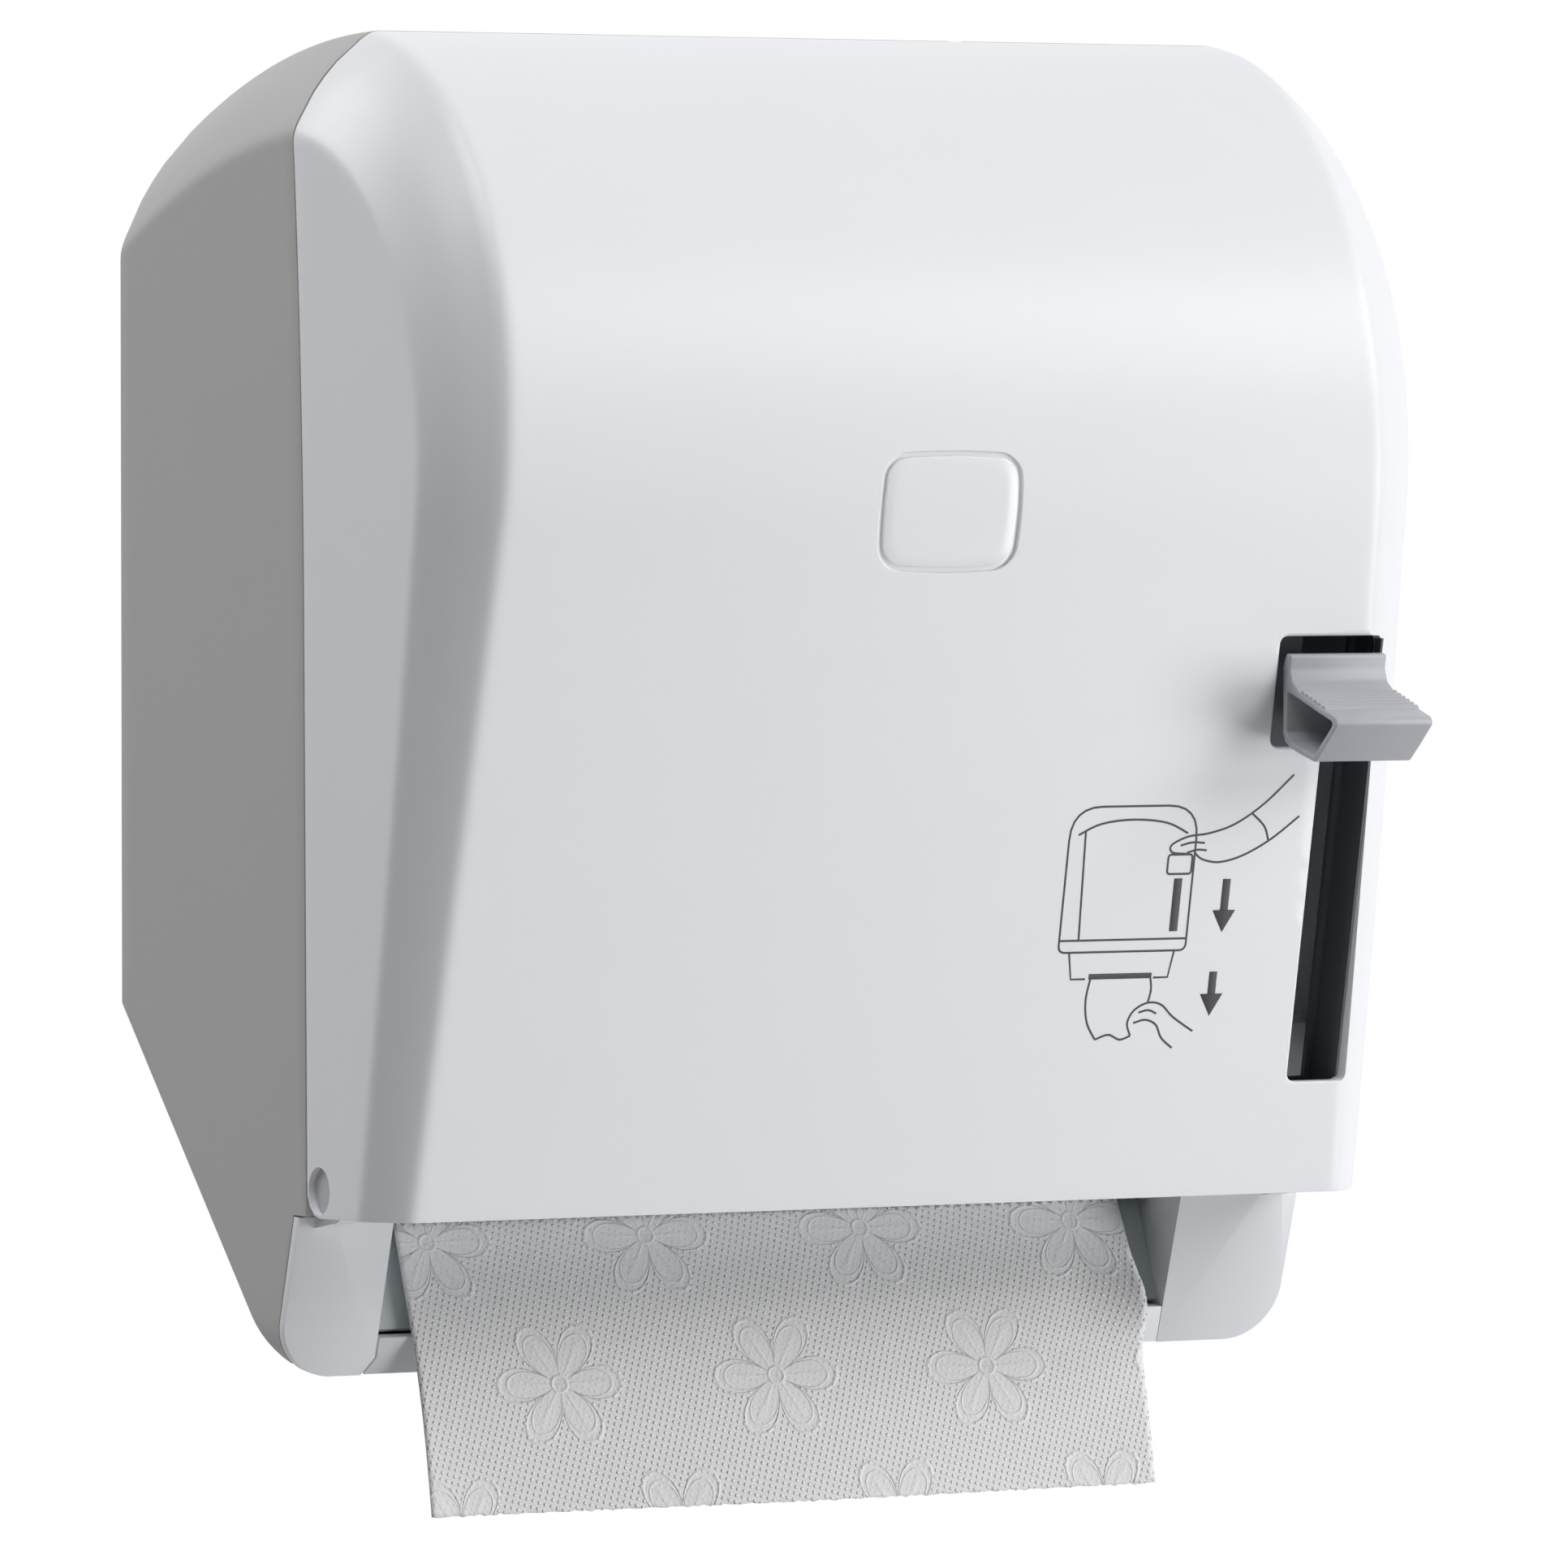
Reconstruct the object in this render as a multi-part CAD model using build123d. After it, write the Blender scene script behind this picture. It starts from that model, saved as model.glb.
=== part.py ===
from build123d import *
import math
import os

# Lever paper towel dispenser, millimetres. The wall is the plane Y = 0 and the user stands at -Y.
# X runs to the user's right and Z up. The origin is the middle of the four wall screws.

# ---- driving dimensions: the case ------------------------------------------------------------
CASE_WIDTH = 290.0
CASE_DEPTH = 211.4
CASE_TOP = 147.1
CHIN_BOTTOM = -201.3
WALL = 3.0                   # thickness of the moulded shells
SEAM = 0.5                   # gap between the closed cover and the housing
FRONT_RADIUS = 104.3         # big arc from the front face over to the top
FRONT_LEAN = 12.3            # lower front leans back by this many degrees
SIDE_DRAFT = 3.5             # the cover's sides close in towards the front, degrees
COVER_LIP = -157.4           # height of the cover's lower front edge
SPLIT_LOW_DEPTH = 129.4      # where cover and housing meet: low down, at mid height and at the top
SPLIT_MID_DEPTH = 128.0
SPLIT_TOP_DEPTH = 118.0
BACK_TOP = 126.5             # the flat back runs from this height
BACK_LOW = -109.5            # down to this one
BACK_SLOPE = 39.8            # the underside runs down and forward at this angle, degrees
BOTTOM_RADIUS = 15.0         # lower corners, seen from the front

# corner bevel between the front and the sides; it widens from the lip to the top
BEVEL_LOW_ACROSS = 10.4
BEVEL_TOP_ACROSS = 23.3
BEVEL_LOW_IN = 10.2
BEVEL_TOP_IN = 27.0
BEVEL_BACK_IN = 35.0         # at the wall, along the top of the housing
BEVEL_LOW_CROWN = 0.6
BEVEL_TOP_CROWN = 2.8

# chin, below the cover
CHIN_TOP = -158.6
CHIN_SET_BACK = 4.4          # the chin's top edge lies this far behind the split line
CHIN_RAKE = 15.1             # its lower edge lies this much further back
CHIN_WALL = 3.4              # measured from front to back
LEFT_CHEEK_WIDTH = 27.0
RIGHT_CHEEK_WIDTH = 35.0     # wider, because the gears stand behind it
BAR_HEIGHT = 9.9
BAR_THICK = 1.6              # of its lip, above the underside
BAR_GAP = 0.4                # between the bar's slanting end and the left cheek
SLANT_ACROSS = 4.2           # the bar's left end runs out by this much
SLANT_START = 4.6            # below this height above its lower edge
LIP_DEPTH = 3.5              # lip of the bar that lies on the inside of the housing
RETURN_DEPTH = 24.0          # how far the cheeks' inner walls run back
FOOT_SET_BACK = 4.0          # the inner walls' lower corner stays this far off the front

# cover hinge
HINGE_AHEAD = 7.6            # of the split line's lower end
HINGE_HEIGHT = -151.0
EAR_RADIUS = 7.1
PIN_HEAD_RADIUS = 6.1
PIN_HEAD_SUNK = 1.4          # below the cover's side
PIN_SHANK_RADIUS = 3.0
LUG_RADIUS = 8.5
LUG_THICK = 5.5
LUG_WEB_UP = 4.0             # the lug's web joins the cheek from this far above the chin's top edge
LUG_WEB_DOWN = 9.0           # to this far below it
LUG_GAP = 1.0                # between a lug and the inside of the cover
RUNNING_GAP = 0.05           # radial clearance of every shaft, pin and bush
SIDE_GAP = 0.5               # clearance beside parts that turn

# lever opening in the cover: a wide window over a narrow slot
WINDOW_FROM_SIDE = 14.8
WINDOW_WIDTH = 31.2
WINDOW_TOP = -9.8
WINDOW_HEIGHT = 28.9
SLOT_WIDTH = 15.9
SLOT_BOTTOM = -127.4
OPENING_RADIUS = 2.4

# badge recess
BADGE_WIDTH = 40.0
BADGE_HEIGHT = 31.0
BADGE_MIDDLE = 22.8
BADGE_RADIUS = 6.0
BADGE_BULGE = 0.9
BADGE_RECESS = 0.9
BADGE_MARGIN = 1.3

# wall screws
SCREW_SPACING_X = 160.0
SCREW_SPACING_Z = 150.0
WALL_SLOT_LENGTH = 11.0
WALL_SLOT_RADIUS = 2.75
PAD_MARGIN = 4.5             # the raised pad round each slot
PAD_HEIGHT = 1.5

# paper roll, core and arms
PAPER_SIDE_GAP = 9.0         # from the sheet's edges to the cheeks
ROLL_FRONT_SPACE = 21.4      # between a full roll and the foremost point of the case
ROLL_BACK_SPACE = 10.0       # between the roll and the wall
ROLL_TOP_SPACE = 24.1        # between the roll and the top of the case
CORE_OUTER_RADIUS = 22.0
CORE_WALL = 2.0
ARM_THICK = 3.0
ARM_DISC_RADIUS = 25.0
ARM_ROOT_HEIGHT = 40.0
ARM_PIVOT_DEPTH = 12.0
ARM_PIN_RADIUS = 2.5
KNUCKLE_RADIUS = 5.0
BRACKET_EAR = 3.5            # thickness of the bracket's ears, above and below the arm
BRACKET_REACH = 22.0         # how far the bracket's plate runs inwards from the pivot
BRACKET_EDGE = 5.0           # how far it runs past the arm's root, up and down
BRACKET_SCREW_IN = 12.0
BRACKET_SCREW_UP = 14.0
HUB_DEPTH = 12.0
HUB_TIP_RADIUS = 15.5
HUB_STUB_RADIUS = 6.0        # the hub's stub goes through the arm and stands out by 1 mm
END_GAP = 0.3                # between the roll's ends and the hubs, and round soft parts
HUB_COLLAR = 4.0             # the hub's collar holds the roll this far from its arm

# feed module
PLATE_THICK = 2.5
FEED_BEHIND_CHIN = 18.0
FEED_ABOVE_CHIN = 21.6
FEED_RADIUS = 15.0
FEED_TUBE_RADIUS = 12.5
FEED_SHAFT_RADIUS = 5.0
TUBE_EXTRA = 3.0             # the feed roller's tube stands out past the paper by this much
SLEEVE_WIDTH = 46.0
SLEEVE_COUNT = 3
BUSH_RADIUS = 7.0
BUSH_COLLAR = 1.2
PINCH_RADIUS = 13.0
PINCH_TUBE_RADIUS = 10.5
PINCH_SHAFT_RADIUS = 4.0
PINCH_ANGLE = 3.0            # direction from the feed roller to the pinch roller, degrees above level
PAPER_THICK = 0.4
FRAME_PIVOT_BEHIND = 35.0    # from the feed roller's axis
FRAME_PIVOT_ABOVE = 34.0
FRAME_BAR_BEHIND = 50.0
FRAME_BAR_BELOW = 1.0
FRAME_BAR_RADIUS = 4.0
FRAME_WALL = 3.0
FRAME_EYE_RADIUS = 6.0       # round the frame's pivot and its bar
PINCH_EYE_RADIUS = 7.0       # round the pinch roller's shaft
FRAME_GAP = 1.5              # between the frame and the side plates
PINCH_SPRING_RADIUS = 4.0
PINCH_SPRING_WIRE = 0.6
PINCH_SPRING_TURNS = 6
PINCH_SPRING_IN = 21.0       # from the paper's edges
SPRING_END_GAP = 0.2         # between a compression spring and what it presses on
BLADE_THICK = 0.8
BLADE_LENGTH = 9.0
TOOTH_PITCH = 3.0
TOOTH_HEIGHT = 2.2
BLADE_AHEAD = 2.0            # the blade lies this far in front of the paper
BLADE_DOWN = 12.0            # and starts this far below the feed roller
RAIL_START = 1.5             # below the blade's top edge
RAIL_LENGTH = 5.0
GUIDE_BEHIND = 3.0           # the guide lies this far behind the paper
GUIDE_THICK = 1.8
GUIDE_START = 9.0            # it starts this far below the feed roller
GUIDE_LEAD = 6.0             # its upper edge turns away from the paper by this much
GUIDE_END = 5.5              # the guide ends this far short of where the paper leaves the chin

# paper sheet: where it leaves the chin and where it ends
SHEET_CHIN_GAP = 1.6
SHEET_FREE_DEPTH = 128.5
SHEET_FREE_HEIGHT = -238.5

# lever and gears
LEVER_PIVOT_DEPTH = 50.0
MODULE = 1.5
PINION_TEETH = 16
SECTOR_TEETH_FULL = 120      # teeth that the sector would have as a full wheel
BACKLASH = 0.30
PRESSURE_ANGLE = 20.0
LEVER_TRAVEL = 33.0          # degrees
SECTOR_RIM = 14.0            # from the pitch line to the rim's inner edge
SPOKE_IN = 4.0               # the outer spokes stand this many degrees in from the sector's ends
SECTOR_MARGIN = 3.0          # teeth beyond both ends of the travel, degrees
GEAR_FROM_SIDE = 28.0
GEAR_WIDTH = 5.0
AXLE_RADIUS = 4.0
LEVER_BOSS_RADIUS = 8.0
NECK_WIDTH = 10.0
NECK_HEIGHT = 12.0
CLUTCH_RADIUS = 8.0
CLUTCH_RIM = 2.0
PADDLE_LEFT_GAP = 2.0        # between the paddle and the window's left and right sides
PADDLE_RIGHT_GAP = 1.0
PADDLE_WALL = 1.6
PADDLE_DROP = 4.5            # from the top of the window down to the paddle
PADDLE_BEHIND = 2.4          # the paddle's back lies this far behind the cover's face
SOCKET_DEPTH = 1.6           # the arm's end is glued into the paddle's back
RIB_COUNT = 6
RIB_PITCH = 2.4
RIB_RADIUS = 0.7
RIB_SUNK = 0.25              # the ribs' centres lie this far below the paddle's upper face
RIB_START = 2.0              # the first rib starts this far beyond the face's middle corner
SPRING_COIL_RADIUS = 9.6
SPRING_WIRE = 0.8
SPRING_LEG = 14.0
SPRING_TURNS = 2.75
SPRING_LENGTH = 5.0

# mechanism cover and lever shroud
MECH_WALL = 2.0
MECH_FROM_SIDE = 7.5
HORN_MARGIN = 14.0           # the side plate's horn reaches this far round the lever's axle
MECH_BOSS = 3.0              # length of the boss that holds the lever's axle
SHROUD_LEFT_MARGIN = 3.0     # the channel is wider than the window by this much at the left
SHROUD_RIGHT_MARGIN = 2.6    # and by this much at the right
SHROUD_DEPTH = 17.0          # from the cover's inner face to the channel's back
SHROUD_MARGIN = 5.0          # the channel reaches this far past the window and the slot
SHROUD_GAP = 1.0             # between the channel and the inside of the cover
SLIT_GAP = 2.0               # beside the arm

# lock
LATCH_X = 45.6
LATCH_WIDTH = 12.0
LATCH_BEHIND_SPLIT = 20.0
LATCH_BELOW_TOP = 16.03
LATCH_PIN_RADIUS = 2.0
LATCH_NOSE = 4.2             # how far the latch's nose reaches in front of the catch
LATCH_TAIL = 9.0
LATCH_GAP = 0.6              # between the nose and the catch
LATCH_THICK = 4.0
CATCH_AHEAD = 9.3            # of the split line
CATCH_THICK = 3.4
CATCH_RISE = 3.5             # the catch ends this far above the latch's pivot
CATCH_OVERLAP = 2.0          # it is wider than the latch by this much on each side
BRACKET_WALL = 2.0
LATCH_SPRING_RADIUS = 2.2
LATCH_SPRING_WIRE = 0.4
LATCH_SPRING_TURNS = 4
LATCH_SPRING_SPACE = 6.5     # between the latch's tail and the bracket's roof
LATCH_SPRING_BACK = 6.0
KEY_SLIT_WIDTH = 4.3
KEY_SLIT_LENGTH = 2.5

# module screws
SCREW_HEAD_RADIUS = 3.6
SCREW_HEAD_HEIGHT = 2.4
SCREW_SHANK_RADIUS = 1.9
SCREW_BITE = 2.4
CROSS_LENGTH = 4.2
CROSS_WIDTH = 0.9
FLANGE_WIDTH = 13.0
FLANGE_THICK = 2.5
FLANGE_HEIGHT = 36.0
FLANGE_SCREW_LOW = 10.0
FLANGE_SCREW_HIGH = 28.0

# ---- values worked out from them -------------------------------------------------------------
HALF = CASE_WIDTH / 2
CLEAR = CASE_DEPTH / 10      # how far a cutting tool reaches past what it cuts
ARC_Y = FRONT_RADIUS - CASE_DEPTH
ARC_Z = CASE_TOP - FRONT_RADIUS
LEAN_SIN = math.sin(math.radians(FRONT_LEAN))
LEAN_COS = math.cos(math.radians(FRONT_LEAN))
TANGENT_Y = ARC_Y - FRONT_RADIUS * LEAN_COS
TANGENT_Z = ARC_Z - FRONT_RADIUS * LEAN_SIN
FACE_LENGTH = (TANGENT_Z - COVER_LIP) / LEAN_COS
SPLIT_TOP_Z = ARC_Z + math.sqrt(FRONT_RADIUS ** 2 - (ARC_Y + SPLIT_TOP_DEPTH) ** 2)
ARC_SWEEP = math.pi / 2 + math.radians(FRONT_LEAN) - math.asin((ARC_Y + SPLIT_TOP_DEPTH) / FRONT_RADIUS)
PROFILE_LENGTH = FACE_LENGTH + FRONT_RADIUS * ARC_SWEEP
SLOPE_RISE = math.tan(math.radians(BACK_SLOPE))
CHIN_TOP_DEPTH = SPLIT_LOW_DEPTH - CHIN_SET_BACK
CHIN_SLOPE = CHIN_RAKE / (CHIN_TOP - CHIN_BOTTOM)
HINGE_DEPTH = SPLIT_LOW_DEPTH + HINGE_AHEAD
LEFT_OPENING = LEFT_CHEEK_WIDTH - HALF
RIGHT_OPENING = HALF - RIGHT_CHEEK_WIDTH
PAPER_LEFT = LEFT_OPENING + PAPER_SIDE_GAP
PAPER_RIGHT = RIGHT_OPENING - PAPER_SIDE_GAP
WINDOW_RIGHT = HALF - WINDOW_FROM_SIDE
WINDOW_LEFT = WINDOW_RIGHT - WINDOW_WIDTH
WINDOW_BOTTOM = WINDOW_TOP - WINDOW_HEIGHT
SLOT_LEFT = WINDOW_RIGHT - SLOT_WIDTH
ROLL_RADIUS = (CASE_DEPTH - ROLL_FRONT_SPACE - ROLL_BACK_SPACE) / 2
ROLL_DEPTH = ROLL_BACK_SPACE + ROLL_RADIUS
ROLL_HEIGHT = CASE_TOP - ROLL_TOP_SPACE - ROLL_RADIUS
CORE_INNER_RADIUS = CORE_OUTER_RADIUS - CORE_WALL
FEED_DEPTH = CHIN_TOP_DEPTH - FEED_BEHIND_CHIN
FEED_HEIGHT = CHIN_TOP + FEED_ABOVE_CHIN
PITCH_RADIUS = MODULE * PINION_TEETH / 2
SECTOR_RADIUS = MODULE * SECTOR_TEETH_FULL / 2
GEAR_CENTRES = PITCH_RADIUS + SECTOR_RADIUS
LEVER_PIVOT_Z = FEED_HEIGHT + math.sqrt(GEAR_CENTRES ** 2 - (FEED_DEPTH - LEVER_PIVOT_DEPTH) ** 2)
LEVER_PIVOT = (-LEVER_PIVOT_DEPTH, LEVER_PIVOT_Z)
FEED_CENTRE = (-FEED_DEPTH, FEED_HEIGHT)
HINGE_CENTRE = (-HINGE_DEPTH, HINGE_HEIGHT)
FRAME_PIVOT = (-FEED_DEPTH + FRAME_PIVOT_BEHIND, FEED_HEIGHT + FRAME_PIVOT_ABOVE)
FRAME_BAR = (-FEED_DEPTH + FRAME_BAR_BEHIND, FEED_HEIGHT - FRAME_BAR_BELOW)
ROLL_CENTRE = (-ROLL_DEPTH, ROLL_HEIGHT)
PINCH_REACH = FEED_RADIUS + PAPER_THICK + 2 * END_GAP + PINCH_RADIUS
PINCH_CENTRE = (-FEED_DEPTH + PINCH_REACH * math.cos(math.radians(PINCH_ANGLE)),
                FEED_HEIGHT + PINCH_REACH * math.sin(math.radians(PINCH_ANGLE)))
GEAR_LEFT = HALF - GEAR_FROM_SIDE
PADDLE_LEFT = WINDOW_LEFT + PADDLE_LEFT_GAP
PADDLE_RIGHT = WINDOW_RIGHT - PADDLE_RIGHT_GAP
MECH_OUTER = HALF - MECH_FROM_SIDE
SHROUD_LEFT = WINDOW_LEFT - SHROUD_LEFT_MARGIN
SHROUD_RIGHT = WINDOW_RIGHT + SHROUD_RIGHT_MARGIN
LATCH_PIVOT_DEPTH = SPLIT_TOP_DEPTH - LATCH_BEHIND_SPLIT
LATCH_PIVOT_HEIGHT = SPLIT_TOP_Z - LATCH_BELOW_TOP
LATCH_PIVOT = (-LATCH_PIVOT_DEPTH, LATCH_PIVOT_HEIGHT)
LATCH_TOP = LATCH_PIVOT_HEIGHT + LATCH_THICK / 2
CATCH_DEPTH = SPLIT_TOP_DEPTH + CATCH_AHEAD
LATCH_NOSE_DEPTH = CATCH_DEPTH + LATCH_NOSE
CATCH_BOTTOM = LATCH_PIVOT_HEIGHT + CATCH_RISE


# ---- small helpers ---------------------------------------------------------------------------
def side_polygon(points):
    """A face in the YZ plane from (y, z) points."""
    return Plane.YZ * make_face(Polyline(*points, close=True))


def across(face, x_from, x_to):
    """A solid from a YZ face, between two X positions."""
    return extrude(Pos(x_from, 0, 0) * face, amount=x_to - x_from, dir=(1, 0, 0))


def slab(points, x_from, x_to):
    return across(side_polygon(points), x_from, x_to)


def block(x_from, x_to, y_from, y_to, z_from, z_to):
    box = Box(x_to - x_from, y_to - y_from, z_to - z_from)
    return Pos((x_from + x_to) / 2, (y_from + y_to) / 2, (z_from + z_to) / 2) * box


def rod(centre, radius, x_from, x_to):
    """A cylinder along X round a (y, z) centre."""
    face = Plane.YZ * Pos(centre[0], centre[1]) * Circle(radius)
    return across(face, x_from, x_to)


def tube(centre, outer, inner, x_from, x_to):
    return rod(centre, outer, x_from, x_to) - rod(centre, inner, x_from - 1, x_to + 1)


def front_prism(face_xz, y_from, y_to):
    """A solid from a face drawn in the XZ plane, between two Y positions."""
    return extrude(Plane((0, y_to, 0), x_dir=(1, 0, 0), z_dir=(0, -1, 0)) * face_xz, amount=y_to - y_from)


def polar(centre, radius, degrees):
    a = math.radians(degrees)
    return (centre[0] + radius * math.cos(a), centre[1] + radius * math.sin(a))


def single(shape):
    """The one solid in a boolean's result."""
    return shape.solids().sort_by(SortBy.VOLUME)[-1]


# ---- shape of the case -----------------------------------------------------------------------
def front_y(z, inset=0.0):
    """Depth of the cover's lower front face at a height, or of a surface that far behind it."""
    return TANGENT_Y + (TANGENT_Z - z) * LEAN_SIN / LEAN_COS + inset / LEAN_COS


def half_width(y):
    """Half the cover's width at a depth."""
    return HALF - max(0.0, -SPLIT_MID_DEPTH - y) * math.tan(math.radians(SIDE_DRAFT))


def chin_y(z):
    return -CHIN_TOP_DEPTH + (CHIN_TOP - z) * CHIN_SLOPE


def slope_z(y, inset=0.0):
    """Height of the housing's sloping underside at a depth, or of a surface that far inside it."""
    return BACK_LOW + y * SLOPE_RISE + inset / math.cos(math.radians(BACK_SLOPE))


def split_edges(shift):
    """The line where cover and housing meet, from the top down, as edges of a YZ outline."""
    low = (-SPLIT_LOW_DEPTH + shift, HINGE_HEIGHT)
    mid = (-SPLIT_MID_DEPTH + shift, 0.0)
    top = (-SPLIT_TOP_DEPTH + shift, CASE_TOP + 2)
    upper = TangentArc(mid, top, tangent=(mid[0] - low[0], mid[1] - low[1]))
    return upper, Line(mid, low), top, low


def profile_station(s):
    """Point on the cover's outer profile and its inward direction, s millimetres up from the lip."""
    if s <= FACE_LENGTH:
        y = front_y(COVER_LIP) - s * LEAN_SIN
        return (y, COVER_LIP + s * LEAN_COS), (LEAN_COS, LEAN_SIN)
    a = math.pi + math.radians(FRONT_LEAN) - (s - FACE_LENGTH) / FRONT_RADIUS
    point = (ARC_Y + FRONT_RADIUS * math.cos(a), ARC_Z + FRONT_RADIUS * math.sin(a))
    return point, (-math.cos(a), -math.sin(a))


def top_arc(inset):
    """The housing's top, from its front edge back to the wall."""
    front = (-SPLIT_TOP_DEPTH, SPLIT_TOP_Z - inset)
    back = (0.0, BACK_TOP - inset)
    fall = SPLIT_TOP_Z - BACK_TOP
    middle = (-SPLIT_TOP_DEPTH / 2, SPLIT_TOP_Z - fall / 4 - inset)
    return ThreePointArc(front, middle, back)


def bevel_section(point, inward, half, across_width, depth, crown, inset, side):
    """One cross-section of the tool that bevels a corner: it lies in the plane of X and inward."""
    ease = inset * (2 - math.sqrt(2))
    wide = across_width - ease
    deep = depth - ease
    base = (point[0] + inward[0] * inset, point[1] + inward[1] * inset)

    def place(in_from_side, in_from_front):
        y = base[0] + inward[0] * in_from_front
        z = base[1] + inward[1] * in_from_front
        return Vector(side * (half - inset - in_from_side), y, z)

    far = WALL * 3
    length = math.hypot(wide, deep)
    middle = place(wide / 2 - crown * deep / length, deep / 2 - crown * wide / length)
    corner_a = place(wide, 0)
    corner_b = place(0, deep)
    edges = [
        ThreePointArc(corner_a, middle, corner_b),
        Line(corner_b, place(-far, deep)),
        Line(place(-far, deep), place(-far, -far)),
        Line(place(-far, -far), place(wide, -far)),
        Line(place(wide, -far), corner_a),
    ]
    return Face(Wire(edges))


def share_up(s):
    return min(max(s / PROFILE_LENGTH, 0.0), 1.0)


def cover_bevel(side, inset=0.0):
    """The tool that bevels a corner of the cover, from below its lip to behind the split line."""
    sections = []
    steps = 12
    before = 8.0
    behind = 6.0
    for k in range(steps + 1):
        s = -before + (PROFILE_LENGTH + before + behind) * k / steps
        point, inward = profile_station(s)
        t = share_up(s)
        wide = BEVEL_LOW_ACROSS + (BEVEL_TOP_ACROSS - BEVEL_LOW_ACROSS) * t
        deep = BEVEL_LOW_IN + (BEVEL_TOP_IN - BEVEL_LOW_IN) * t ** 1.5
        crown = BEVEL_LOW_CROWN + (BEVEL_TOP_CROWN - BEVEL_LOW_CROWN) * t ** 2
        half = half_width(point[0] + inward[0] * deep)
        sections.append(bevel_section(point, inward, half, wide, deep, crown, inset, side))
    return loft(sections)


def housing_bevel(side, inset=0.0):
    """The same bevel where it runs on along the top of the housing, back past the wall."""
    sections = []
    steps = 5
    ahead = 16.0
    behind = 8.0
    for k in range(steps + 1):
        y = -SPLIT_TOP_DEPTH - ahead + (SPLIT_TOP_DEPTH + ahead + behind) * k / steps
        t = min(max((y + SPLIT_TOP_DEPTH) / SPLIT_TOP_DEPTH, 0.0), 1.0)
        z = SPLIT_TOP_Z - (SPLIT_TOP_Z - BACK_TOP) * t * t
        deep = BEVEL_TOP_IN + (BEVEL_BACK_IN - BEVEL_TOP_IN) * t
        sections.append(bevel_section((y, z), (0.0, -1.0), HALF, BEVEL_TOP_ACROSS, deep, BEVEL_TOP_CROWN,
                                      inset, side))
    return loft(sections)


def bottom_corner_tool(side):
    """What the rounded lower corners take away, seen from the front."""
    middle_x = side * (HALF - BOTTOM_RADIUS)
    middle_z = CHIN_BOTTOM + BOTTOM_RADIUS
    square = Pos(side * HALF, CHIN_BOTTOM) * Rectangle(2 * BOTTOM_RADIUS, 2 * BOTTOM_RADIUS)
    keep = Pos(middle_x, middle_z) * Circle(BOTTOM_RADIUS)
    return front_prism(square - keep, -CASE_DEPTH, CLEAR)


def cover_block(inset=0.0, open_by=0.0):
    """The cover's outer body, or a smaller one inside it that runs out through its open sides."""
    radius = FRONT_RADIUS - inset
    lip_z = COVER_LIP - open_by
    tangent = (ARC_Y - radius * LEAN_COS, ARC_Z - radius * LEAN_SIN)
    arc_mid = polar((ARC_Y, ARC_Z), radius, 140)
    arc_end = polar((ARC_Y, ARC_Z), radius, 88)
    lip = (front_y(lip_z, inset), lip_z)
    outline = [
        Line(lip, tangent),
        ThreePointArc(tangent, arc_mid, arc_end),
        Line(arc_end, (arc_end[0], lip_z)),
        Line((arc_end[0], lip_z), lip),
    ]
    body = across(Plane.YZ * make_face(outline), -HALF, HALF)
    upper, lower, top, low = split_edges(open_by - SEAM)
    foot = lip_z - CLEAR
    roof = top[1] + CLEAR
    behind = [
        upper,
        lower,
        Line(low, (low[0], foot)),
        Line((low[0], foot), (CASE_DEPTH, foot)),
        Line((CASE_DEPTH, foot), (CASE_DEPTH, roof)),
        Line((CASE_DEPTH, roof), (top[0], roof)),
        Line((top[0], roof), top),
    ]
    body -= across(Plane.YZ * make_face(behind), -HALF - CLEAR, HALF + CLEAR)
    wide = HALF - inset
    near = half_width(-CASE_DEPTH) - inset
    right_side = [(wide, CLEAR), (wide, -SPLIT_MID_DEPTH), (near, -CASE_DEPTH)]
    left_side = [(-x, y) for x, y in reversed(right_side)]
    plan = make_face(Polyline(*right_side, *left_side, close=True))
    body &= extrude(Pos(0, 0, foot) * plan, amount=CASE_TOP + CLEAR - foot)
    for side in (-1, 1):
        body -= cover_bevel(side, inset)
    return body


def front_strip(inset_from, inset_to, half):
    """The part of the cover's skin round the badge, between two depths below its surface."""
    edges = []
    rings = []
    low_z = BADGE_MIDDLE - 2 * BADGE_HEIGHT
    for inset in (inset_from, inset_to):
        radius = FRONT_RADIUS - inset
        tangent = (ARC_Y - radius * LEAN_COS, ARC_Z - radius * LEAN_SIN)
        low = (front_y(low_z, inset), low_z)
        middle = polar((ARC_Y, ARC_Z), radius, 170)
        end = polar((ARC_Y, ARC_Z), radius, 148)
        edges += [Line(low, tangent), ThreePointArc(tangent, middle, end)]
        rings.append((low, end))
    edges += [Line(rings[0][0], rings[1][0]), Line(rings[0][1], rings[1][1])]
    return across(Plane.YZ * make_face(edges), -half, half)


def pillow(width, height, radius):
    """A rectangle with rounded corners and slightly bulging sides."""
    half_w = width / 2 - BADGE_BULGE
    half_h = height / 2 - BADGE_BULGE
    edges = [
        ThreePointArc((-half_w, -half_h), (0, -height / 2), (half_w, -half_h)),
        ThreePointArc((half_w, -half_h), (width / 2, 0), (half_w, half_h)),
        ThreePointArc((half_w, half_h), (0, height / 2), (-half_w, half_h)),
        ThreePointArc((-half_w, half_h), (-width / 2, 0), (-half_w, -half_h)),
    ]
    face = make_face(edges)
    return fillet(face.vertices(), radius)


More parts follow.
